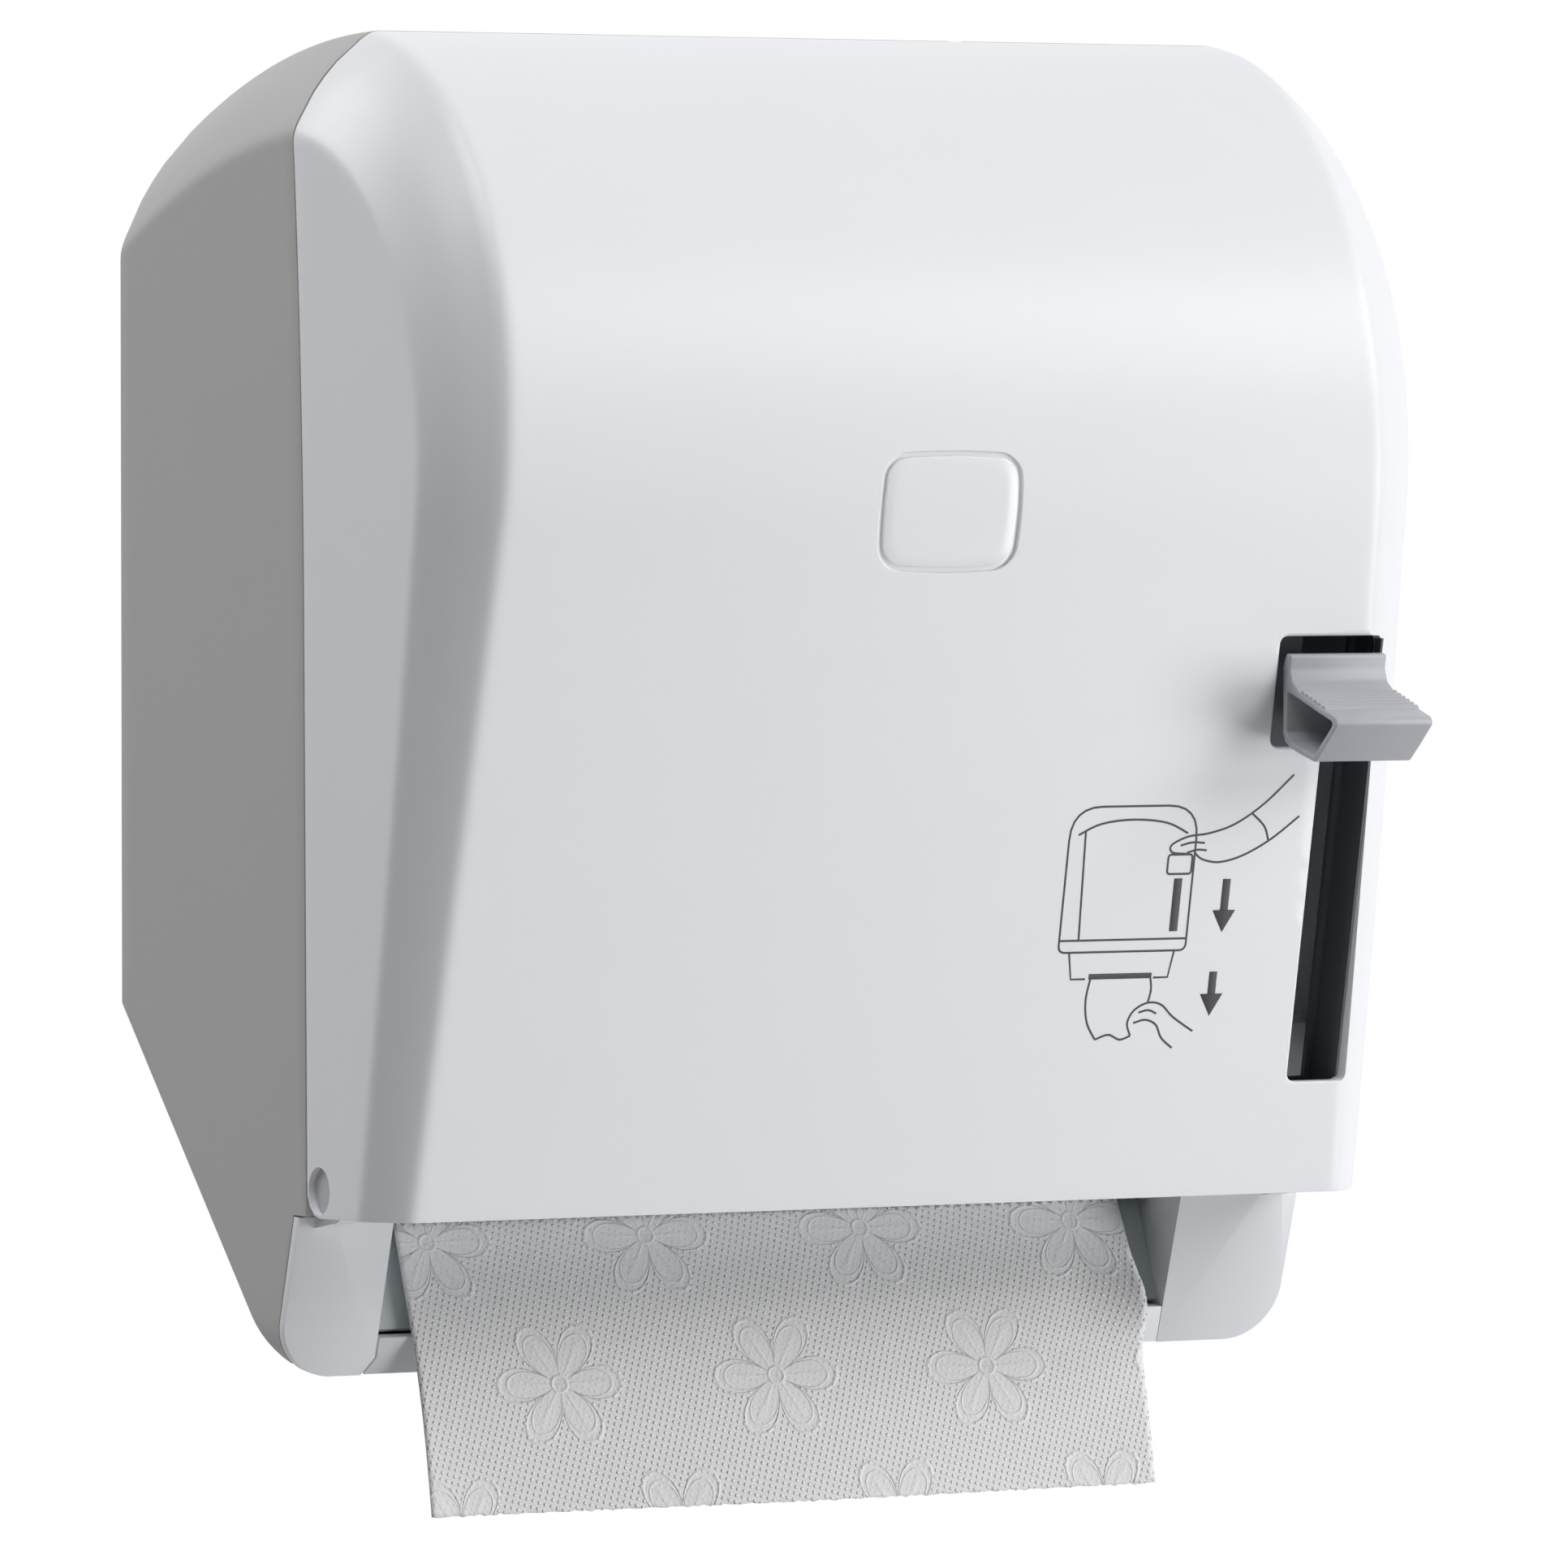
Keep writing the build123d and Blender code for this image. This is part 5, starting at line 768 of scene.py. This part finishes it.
def badge_outline(grow):
    """The badge's edge, grown by this much: a rounded rectangle whose sides bulge slightly."""
    width, height, radius = 40.0 + 2.0 * grow, 31.0 + 2.0 * grow, 6.0 + grow
    bulge, middle_z, count = 0.9, 22.8, 10
    points = []
    for cx, cz, start in ((1, 1, 0.0), (-1, 1, 90.0), (-1, -1, 180.0), (1, -1, 270.0)):
        for k in range(count + 1):
            a = math.radians(start + 90.0 * k / count)
            points.append((cx * (width / 2.0 - radius) + radius * math.cos(a),
                           cz * (height / 2.0 - radius) + radius * math.sin(a)))
    filled = []
    for a, b in zip(points, points[1:] + points[:1]):
        steps = 8 if math.dist(a, b) > 4.0 else 1
        filled += [between(a, b, k / steps) for k in range(steps)]
    bulged = []
    for x, z in filled:
        bulged.append((x * (1.0 - bulge / (width / 2.0) * (2.0 * z / height) ** 2),
                       middle_z + z * (1.0 - bulge / (height / 2.0) * (2.0 * x / width) ** 2)))
    return bulged


# depths of the opening's edge, with how far it has flared there: all round, and on its rolled right side
opening_flare = ((-6.0, 0.8, 2.3), (0.0, 0.8, 2.3), (0.1, 0.48, 2.15), (0.32, 0.2, 1.9), (0.8, 0.0, 1.45),
                 (1.4, 0.0, 0.9), (2.0, 0.0, 0.45), (2.6, 0.0, 0.15), (3.2, 0.0, 0.0), (9.0, 0.0, 0.0))
opening_loops = [[(x, front_y(z) + depth, z) for x, z in lever_opening(grow, right_grow)]
                 for depth, grow, right_grow in opening_flare]
badge_flare = ((-4.0, 0.35), (0.0, 0.35), (0.05, 0.2), (0.15, 0.08), (0.35, 0.0), (9.0, 0.0))
badge_tool = [[(x, face_y(z) + depth, z) for x, z in badge_outline(grow)] for depth, grow in badge_flare]
cut(cover, [loop_prism("badge_seat", badge_tool)])
cut(cover, [loop_prism("opening", opening_loops)])
pin_hole_radius = 6.15
ring = [(hinge[0] + pin_hole_radius * math.cos(a), hinge[1] + pin_hole_radius * math.sin(a))
        for a in [math.radians(7.5 * k) for k in range(48)]]
for side in (-1, 1):
    cut(cover, [loop_prism("pin_hole", [[(side * x, y, z) for y, z in ring] for x in (138.0, 150.0)])])
smooth_but_edges(cover)
even = cover.modifiers.new("even_shading", "WEIGHTED_NORMAL")
even.keep_sharp = True
even.weight = 80
apply_modifiers(cover)
satin_white_abs = moulded_plastic("abs_satin_white_moulded", "#F1F2F5", 0.36, 0.45, 0.006)
fit(cover, "cover", "cover_white", satin_white_abs, "front_cover")
# Painted shade: a thin charcoal strip lines the slot's right inner wall and stands in for the shade that
# falls there.
painted_shade_front, painted_shade_back, painted_shade_top, painted_shade_low = 2.4, 6.0, -10.6, -126.6
painted_shade_corners = [(front_y(z) + depth, z) for depth, z in (
    (painted_shade_front, painted_shade_top), (painted_shade_back, painted_shade_top), (painted_shade_back, painted_shade_low), (painted_shade_front, painted_shade_low))]
slot_painted_shade = loop_prism("slot_wall_painted_shade", [[(x, y, z) for y, z in painted_shade_corners] for x in (129.75, 130.35)])
fit(slot_painted_shade, "cover", "liner_charcoal", charcoal_abs_and_painted_shade)
gloss_white = moulded_plastic("abs_gloss_white_badge", "#F3F4F6", 0.22, 0.6, 0.001, mottle=0.004)
# the plate with the floor that it sits on, from its back to its front: depths and how far it is inset
badge_steps = ((2.9, 0.02), (0.9, 0.02), (0.9, 1.3), (0.35, 1.3), (0.12, 1.42), (0.03, 1.7))
badge_loops = [[(x, face_y(z) + depth, z) for x, z in badge_outline(-inset)] for depth, inset in badge_steps]
badge = closed_by_rings(badge_loops[::-1], face_y, 2.9)[::-1]
badge = loop_prism("badge_plate_blank", closed_by_rings(badge, face_y, 0.03))
smooth_but_edges(badge)
fit(badge, "cover", "cover_white", gloss_white, "badge_plate")
paint(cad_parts["cover_catch"], satin_white_abs)


# ==== printed steps on the cover =================================================================
# A wordless drawing in dark ink is pad-printed beside the slot: a hand presses the lever down, and
# another takes the sheet. Lines, bars and arrow heads are all one stroke of ink of varying width.
def curved_through(points, steps):
    """A smooth line through points, with this many steps between neighbours."""
    line = []
    for k in range(len(points) - 1):
        a, b = points[k], points[k + 1]
        before = points[k - 1] if k else a
        after = points[k + 2] if k + 2 < len(points) else b
        for step in range(steps):
            t = step / steps
            line.append(tuple(0.5 * (2.0 * q + (r - p) * t + (2.0 * p - 5.0 * q + 4.0 * r - s) * t ** 2
                                     + (3.0 * q - p - 3.0 * r + s) * t ** 3)
                              for p, q, r, s in zip(before, a, b, after)))
    return line + [points[-1]]


def bent(*points):
    """A smooth stroke through these points."""
    return curved_through(list(points), 6)


def closed(corners):
    """A rounded outline that ends where it starts."""
    outline = rounded_outline(corners)
    return outline + outline[:1]


stroke = 0.58
ink_lines = [
    closed([(43.0, -96.0, 2.0), (80.0, -96.0, 2.0), (80.0, -57.0, 9.0), (43.0, -57.0, 9.0)]),
    bent((45.6, -64.5), (52.0, -61.6), (61.5, -60.6), (71.0, -61.6), (77.4, -64.5)),
    [(47.6, -63.4), (48.6, -93.0)],
    [(43.0, -92.8), (80.0, -92.8)],
    [(46.2, -96.0), (47.4, -103.2), (51.6, -103.2)],
    [(76.8, -96.0), (75.6, -103.2), (71.4, -103.2)],
    bent((53.2, -103.0), (52.4, -109.0), (53.4, -115.0), (56.2, -119.6)),
    bent((56.2, -119.6), (60.0, -118.4), (63.4, -119.8), (66.4, -118.8)),
    bent((70.6, -103.0), (71.2, -106.4), (70.6, -110.0)),
    bent((66.4, -118.8), (65.2, -115.4), (66.8, -112.0), (70.6, -110.0), (74.6, -110.6), (78.4, -114.0),
         (84.6, -118.0)),
    bent((67.0, -115.4), (70.4, -114.6), (73.6, -116.0), (75.6, -119.6), (79.0, -122.4)),
    bent((68.2, -112.6), (71.0, -112.0), (73.4, -113.0)),
    closed([(72.4, -75.4, 0.9), (79.4, -75.4, 0.9), (79.4, -70.2, 0.9), (72.4, -70.2, 0.9)]),
    bent((106.8, -49.2), (99.0, -56.8), (91.0, -62.2), (83.6, -64.6), (77.6, -65.4), (73.0, -67.6),
         (73.4, -69.6), (77.4, -70.0)),
    bent((109.6, -60.4), (102.0, -66.4), (94.4, -70.6), (87.6, -72.4), (82.4, -71.6), (79.8, -69.6)),
    bent((75.6, -67.8), (79.0, -67.0), (82.6, -67.2)),
    bent((77.6, -69.8), (80.6, -69.0), (83.4, -69.2)),
    bent((95.6, -59.4), (99.6, -63.0), (101.2, -66.9)),
]
ink_bars = [([(75.9, -76.6), (75.9, -90.8)], (4.2, 4.2)),
            ([(52.6, -102.6), (70.9, -102.6)], (2.6, 2.6)),
            ([(90.2, -77.0), (90.2, -85.6)], (4.0, 4.0)),
            ([(90.2, -85.4), (90.2, -91.4)], (11.5, 0.05)),
            ([(89.0, -102.0), (89.0, -108.2)], (4.0, 4.0)),
            ([(89.0, -108.0), (89.0, -114.0)], (11.5, 0.05))]
ink_data = bpy.data.curves.new("printed_steps", "CURVE")
ink_data.dimensions = "3D"
for points, widths in [(line, None) for line in ink_lines] + ink_bars:
    spline = ink_data.splines.new("POLY")
    spline.points.add(len(points) - 1)
    for k, (x, up) in enumerate(points):
        spline.points[k].co = (x * MM, up * MM, 0.0, 1.0)
        spline.points[k].radius = widths[k] if widths else 1.0
ink_source = new_piece("printed_steps_lines", ink_data)
ink_tree, given, made_out = node_group("pad_printed_strokes", {
    "Geometry": "Geometry", "Stroke width": "Float", "Thinness": "Vector", "Face place": "Vector",
    "Face lean": "Vector", "Material": "Material"})
half_stroke = node(ink_tree, "ShaderNodeMath", {"operation": "MULTIPLY"},
                   {0: given.outputs["Stroke width"], 1: 0.5})
stroke_ring = node(ink_tree, "GeometryNodeCurvePrimitiveCircle", inputs={
    "Resolution": 8, "Radius": half_stroke.outputs["Value"]})
stroke_width = node(ink_tree, "GeometryNodeInputRadius")
inked = node(ink_tree, "GeometryNodeCurveToMesh", inputs={
    "Curve": given.outputs["Geometry"], "Profile Curve": stroke_ring.outputs["Curve"], "Fill Caps": True})
ink_tree.links.new(stroke_width.outputs["Radius"], inked.inputs["Scale"])
flat_ink = node(ink_tree, "GeometryNodeTransform", inputs={
    "Geometry": inked.outputs["Mesh"], "Scale": given.outputs["Thinness"]})
laid_ink = node(ink_tree, "GeometryNodeTransform", inputs={
    "Geometry": flat_ink.outputs["Geometry"], "Translation": given.outputs["Face place"],
    "Rotation": given.outputs["Face lean"]})
group_end(ink_tree, laid_ink.outputs["Geometry"], given, made_out)
dark_ink = moulded_plastic("printing_ink_dark_grey", "#303038", 0.5, 0.3, 0.002)
steps_print = grown(ink_source, "printed_steps", ink_tree, {
    "Stroke width": stroke * MM, "Thinness": (1.0, 1.0, 0.1), "Material": dark_ink,
    "Face place": (0.0, (front_y(2.0) - 0.03) * MM, 2.0 * MM),
    "Face lean": (math.radians(90.0) + front_lean, 0.0, 0.0)})
smooth_but_edges(steps_print, 60.0)
fit(steps_print, "cover", "liner_charcoal", dark_ink)


# ==== paper sheet ================================================================================
# The towel is soft white tissue, embossed with fine dots and with large rosettes, and torn off on the
# blade. It comes from the roll over the rollers and hangs from the mouth; its lower edge is ragged.
sheet_path = [(-173.4, -20.4), (-160.0, -38.6), (-140.0, -65.9), (-118.0, -95.9), (-98.4, -122.6),
              (-94.6, -128.5), (-92.7, -135.6), (-92.9, -143.4), (-96.2, -151.0), (-101.0, -162.0),
              (-107.6, -177.0), (-113.9, -191.0), (-118.6, -203.0), (-122.6, -215.0),
              (-125.8, -227.0), (-128.3, -237.6)]


sheet_left, sheet_right = -109.0, 101.0
web = curved_through(sheet_path, 8)
web_length = spots_along(web)[-1]
web_steps, sheet_columns = 150, 141
web_rows = spread(web, [k / web_steps for k in range(web_steps + 1)])
# the torn edge's teeth; the right edge's curl, its height and reach; and how far that edge leans out
tear_pitch = 3.0
curl_out, curl_z, curl_reach = 6.0, -189.0, 10.0
edge_lean = 3.4
rows = []
for y, z in web_rows:
    free = ramp(-z, 196.0, 42.0)
    leaving = ramp(-z, 150.0, 20.0) * ramp(z, -202.0, 16.0)
    curling = math.exp(-((z - curl_z) / curl_reach) ** 2)
    row = []
    for k in range(sheet_columns):
        share = k / (sheet_columns - 1)
        x = sheet_left + (sheet_right - sheet_left) * share
        wave = 1.3 * math.sin(2.0 * math.pi * (1.15 * share + 0.1)) + 0.5 * math.sin(7.0 * share + 2.0)
        at_edge = max(0.0, share - 0.9) / 0.1
        curl = curl_out * at_edge ** 2 * curling
        row.append((x, y + free * wave - curl - edge_lean * share * leaving, z))
    rows.append(row)
for k in range(sheet_columns):
    x = rows[-1][k][0]
    tooth = abs(((x + 300.0) / tear_pitch) % 1.0 - 0.5) * 2.0
    ragged = 0.35 * math.sin(0.9 * x) + 0.3 * math.sin(2.3 * x + 1.0)
    y, z = rows[-1][k][1], rows[-1][k][2]
    rows[-1][k] = (x, y + 0.1, z + 0.5 * tooth + 0.4 * ragged)
sheet = grid_mesh("paper_sheet_embossed", rows)
unrolled = sheet.data.uv_layers.new(name="unrolled")
falling = [-z for y, z in web_rows]
for loop in sheet.data.loops:
    spot = sheet.data.vertices[loop.vertex_index].co / MM
    after = min(max(bisect.bisect_left(falling, -spot.z), 1), len(falling) - 1)
    place = after - (falling[after] + spot.z) / (falling[after] - falling[after - 1])
    unrolled.data[loop.index].uv = (spot.x * MM, place * web_length / web_steps * MM)
smooth_but_edges(sheet, 80.0)
sides = sheet.modifiers.new("thickness", "SOLIDIFY")
sides.thickness = 0.3 * MM
sides.offset = 0.0
apply_modifiers(sheet)


def embossed_paper(name, colour, dot_pitch_mm, rosette_mm, rosette_step_mm):
    """Two-ply towelling: fibres, raised dots on a slanting grid and drawn rosettes, all as bump only."""
    material, tree = new_material(name)
    flat = node(tree, "ShaderNodeUVMap", {"uv_map": "unrolled"})
    axes = node(tree, "ShaderNodeSeparateXYZ", inputs={"Vector": flat.outputs["UV"]})
    grid_turn = 2.0 * math.pi / dot_pitch_mm
    dot_slant = 0.34
    petal, heart = 0.78 * rosette_mm / 2.0, 0.22 * rosette_mm / 2.0
    held = {"X": axes.outputs["X"], "Y": axes.outputs["Y"]}
    found = []
    # each row is a value's name, how it is worked out, and the values or names that it takes
    rows = [("u", "MULTIPLY", "X", 1.0 / MM), ("v", "MULTIPLY", "Y", 1.0 / MM),
            ("slant a", "MULTIPLY_ADD", "v", dot_slant, "u"), ("turn a", "MULTIPLY", "slant a", grid_turn),
            ("slant b", "MULTIPLY_ADD", "u", -dot_slant, "v"), ("turn b", "MULTIPLY", "slant b", grid_turn),
            ("wave a", "COSINE", "turn a"), ("wave b", "COSINE", "turn b"),
            ("waves", "ADD", "wave a", "wave b")]
    for shifts in ((0.12, 0.30), (0.62, 0.80)):
        for axis, step, shift in zip("uv", rosette_step_mm, shifts):
            rows += [("tiled", "MULTIPLY_ADD", axis, 1.0 / step, shift), ("part", "FRACT", "tiled"),
                     ("off middle", "SUBTRACT", "part", 0.5), ("d" + axis, "MULTIPLY", "off middle", step),
                     (axis + " squared", "MULTIPLY", "d" + axis, "d" + axis)]
        rows += [("away squared", "ADD", "u squared", "v squared"), ("away", "SQRT", "away squared"),
                 ("angle", "ARCTAN2", "dv", "du"), ("third", "MULTIPLY", "angle", 3.0),
                 ("swing", "COSINE", "third"), ("lobes", "ABSOLUTE", "swing"),
                 ("round lobes", "POWER", "lobes", 0.55),
                 ("edge", "MULTIPLY_ADD", "round lobes", petal, heart),
                 ("gap", "SUBTRACT", "away", "edge"), ("off edge", "ABSOLUTE", "gap"),
                 ("outline", "MULTIPLY_ADD", "off edge", -1.1, 1.0), ("inwards", "ADD", "gap", 2.6),
                 ("off inner", "ABSOLUTE", "inwards"), ("inner", "MULTIPLY_ADD", "off inner", -1.9, 1.0),
                 ("inner line", "MULTIPLY", "inner", 0.7), ("from heart", "SUBTRACT", "away", 2.2),
                 ("off heart", "ABSOLUTE", "from heart"), ("ring", "MULTIPLY_ADD", "off heart", -1.6, 1.0),
                 ("sharp lobes", "POWER", "lobes", 12.0), ("ridge", "SUBTRACT", "sharp lobes", 0.6),
                 ("within", "LESS_THAN", "gap", -4.0), ("vein", "MULTIPLY", "ridge", "within"),
                 ("petals", "MAXIMUM", "outline", "inner line"), ("centre", "MAXIMUM", "ring", "vein"),
                 ("lines", "MAXIMUM", "petals", "centre"), ("drawn", "MAXIMUM", "lines", 0.0)]
        for label, operation, *values in rows:
            step = node(tree, "ShaderNodeMath", {"operation": operation},
                        {k: held.get(value, value) for k, value in enumerate(values)})
            held[label] = step.outputs["Value"]
        clear = node(tree, "ShaderNodeMapRange", inputs={
            "Value": held["gap"], "From Min": -1.0, "From Max": 1.0, "To Min": 0.25, "To Max": 1.0})
        found.append((held["drawn"], clear.outputs["Result"]))
        rows = []
    dots = node(tree, "ShaderNodeMapRange", {"interpolation_type": "SMOOTHSTEP"},
                {"Value": held["waves"], "From Min": 0.5, "From Max": 1.9})
    drawn, kept = 0.0, dots.outputs["Result"]
    for rosette, clear in found:
        drawn = node(tree, "ShaderNodeMath", {"operation": "MAXIMUM"},
                     {0: drawn, 1: rosette}).outputs["Value"]
        kept = node(tree, "ShaderNodeMath", {"operation": "MULTIPLY"},
                    {0: kept, 1: clear}).outputs["Value"]
    fibre = node(tree, "ShaderNodeTexNoise", inputs={
        "Vector": flat.outputs["UV"], "Scale": 1.0 / (0.7 * MM), "Detail": 4.0, "Roughness": 0.65})
    relief = kept
    for part, share in ((drawn, 0.75), (fibre.outputs["Fac"], 0.2)):
        relief = node(tree, "ShaderNodeMath", {"operation": "MULTIPLY_ADD"},
                      {0: part, 1: share, 2: relief}).outputs["Value"]
    bump = node(tree, "ShaderNodeBump", inputs={"Height": relief, "Distance": 0.3 * MM, "Strength": 1.0})
    return surfaced(material, {
        "Base Color": two_tones(tree, fibre.outputs["Fac"], colour, 0.93), "Roughness": 0.92,
        "Normal": bump.outputs["Normal"], "Specular IOR Level": 0.25})


towelling = embossed_paper("towel_paper_embossed_white", "#FAFAFA", 1.85, 35.0, (62.0, 80.0))
fit(sheet, "base", "paper", towelling, "paper_sheet")


# ==== floor, light and camera ====================================================================
# The dispenser hangs at chest height above a pale floor, in front of nothing, in soft studio light
# from the front right and the back left.
def plain_behind(tree):
    """1 for the rays that show the plain background: the camera's, and those off gloss and glass."""
    rays = node(tree, "ShaderNodeLightPath")
    seen = rays.outputs["Is Camera Ray"]
    for kind in ("Is Glossy Ray", "Is Transmission Ray"):
        seen = node(tree, "ShaderNodeMath", {"operation": "MAXIMUM"},
                    {0: seen, 1: rays.outputs[kind]}).outputs["Value"]
    return seen


def pale_floor(name, colour):
    """Matt floor that is seen paler than it is lit, and still shows the object's shadow faintly."""
    material, tree = new_material(name)
    patches = node(tree, "ShaderNodeTexNoise", inputs={"Scale": 3.0, "Detail": 2.0})
    rough = node(tree, "ShaderNodeMapRange", inputs={
        "Value": patches.outputs["Fac"], "To Min": 0.85, "To Max": 0.95})
    surface = node(tree, "ShaderNodeBsdfPrincipled", inputs={
        "Base Color": linear(colour), "Roughness": rough.outputs["Result"]})
    share = node(tree, "ShaderNodeMath", {"operation": "MULTIPLY"}, {0: plain_behind(tree), 1: 0.75})
    pale = node(tree, "ShaderNodeEmission", inputs={"Color": linear(colour), "Strength": 1.0})
    both = node(tree, "ShaderNodeMixShader", inputs={0: share.outputs["Value"], 1: surface.outputs["BSDF"],
                                                     2: pale.outputs["Emission"]})
    node(tree, "ShaderNodeOutputMaterial", inputs={"Surface": both.outputs["Shader"]})
    return material


floor_z, floor_half, floor_thick = -1900.0, 6000.0, 20.0
floor_corners = ((1, -1), (1, 1), (-1, 1), (-1, -1))
floor = loop_prism("floor", [[(floor_half * x, floor_half * y, z) for x, y in floor_corners]
                             for z in (floor_z, floor_z - floor_thick)])
paint(floor, pale_floor("floor_pale_matt", "#F0F0F0"))


aim = (0.0, -0.1, 0.0)


def soft_lamp(name, place, size, watts):
    """A softbox: a white square lamp at a place in metres, turned to the aim point."""
    light = bpy.data.lights.new(name, "AREA")
    light.shape = "SQUARE"
    light.size = size
    light.energy = watts
    lamp = new_piece(name, light)
    lamp.location = place
    lamp.rotation_euler = (Vector(aim) - Vector(place)).to_track_quat("-Z", "Y").to_euler()


def direction(side_degrees, up_degrees, distance):
    """A place round the object: degrees to the right of its front, degrees up, metres away."""
    side, up = math.radians(side_degrees), math.radians(up_degrees)
    return (distance * math.sin(side) * math.cos(up), aim[1] - distance * math.cos(side) * math.cos(up),
            distance * math.sin(up))


soft_lamp("key_front_right", direction(45.0, 24.0, 3.1), 1.5, 42.0)
soft_lamp("rim_back_left", direction(-140.0, 35.0, 2.9), 1.4, 22.0)
soft_lamp("fill_low_right", direction(46.0, -12.0, 2.6), 1.3, 28.5)
soft_lamp("top_left", direction(-62.0, 62.0, 2.9), 1.6, 37.0)
world = bpy.data.worlds.new("studio")
world.use_nodes = True
bpy.context.scene.world = world
tree = world.node_tree
tree.nodes.clear()
sky = node(tree, "ShaderNodeTexCoord")
height = node(tree, "ShaderNodeSeparateXYZ", inputs={"Vector": sky.outputs["Generated"]})
overhead = node(tree, "ShaderNodeMapRange", inputs={"Value": height.outputs["Z"], "From Min": 0.1,
                                                    "From Max": 1.0, "To Min": 0.03, "To Max": 0.38})
shaded_side = node(tree, "ShaderNodeVectorMath", {"operation": "DOT_PRODUCT"},
                   {0: sky.outputs["Generated"], 1: (-0.64, -0.77, 0.0)})
shade = node(tree, "ShaderNodeMapRange", inputs={"Value": shaded_side.outputs["Value"], "From Min": -0.1,
                                                 "From Max": 0.8, "To Min": 1.0, "To Max": 0.25})
sky_light = node(tree, "ShaderNodeMath", {"operation": "MULTIPLY"},
                 {0: overhead.outputs["Result"], 1: shade.outputs["Result"]})
fill = node(tree, "ShaderNodeBackground", inputs={"Color": linear("#F4F6FC"),
                                                  "Strength": sky_light.outputs["Value"]})
white = node(tree, "ShaderNodeBackground", inputs={"Color": (1.0, 1.0, 1.0, 1.0), "Strength": 1.0})
both = node(tree, "ShaderNodeMixShader", inputs={
    0: plain_behind(tree), 1: fill.outputs["Background"], 2: white.outputs["Background"]})
node(tree, "ShaderNodeOutputWorld", inputs={"Surface": both.outputs["Shader"]})

turn = math.radians(25.0)
dip = math.radians(1.91)
camera_data = bpy.data.cameras.new("camera")
camera_data.sensor_width = 36.0
camera_data.lens = 232.51
camera_data.clip_end = 60.0
camera = new_piece("camera", camera_data)
camera.location = (-1.1295, -2.5309, 0.0395)
looking = Vector((math.sin(turn) * math.cos(dip), math.cos(turn) * math.cos(dip), -math.sin(dip)))
camera.rotation_euler = looking.to_track_quat("-Z", "Y").to_euler()
bpy.context.scene.camera = camera
bpy.context.scene.view_settings.view_transform = "Standard"
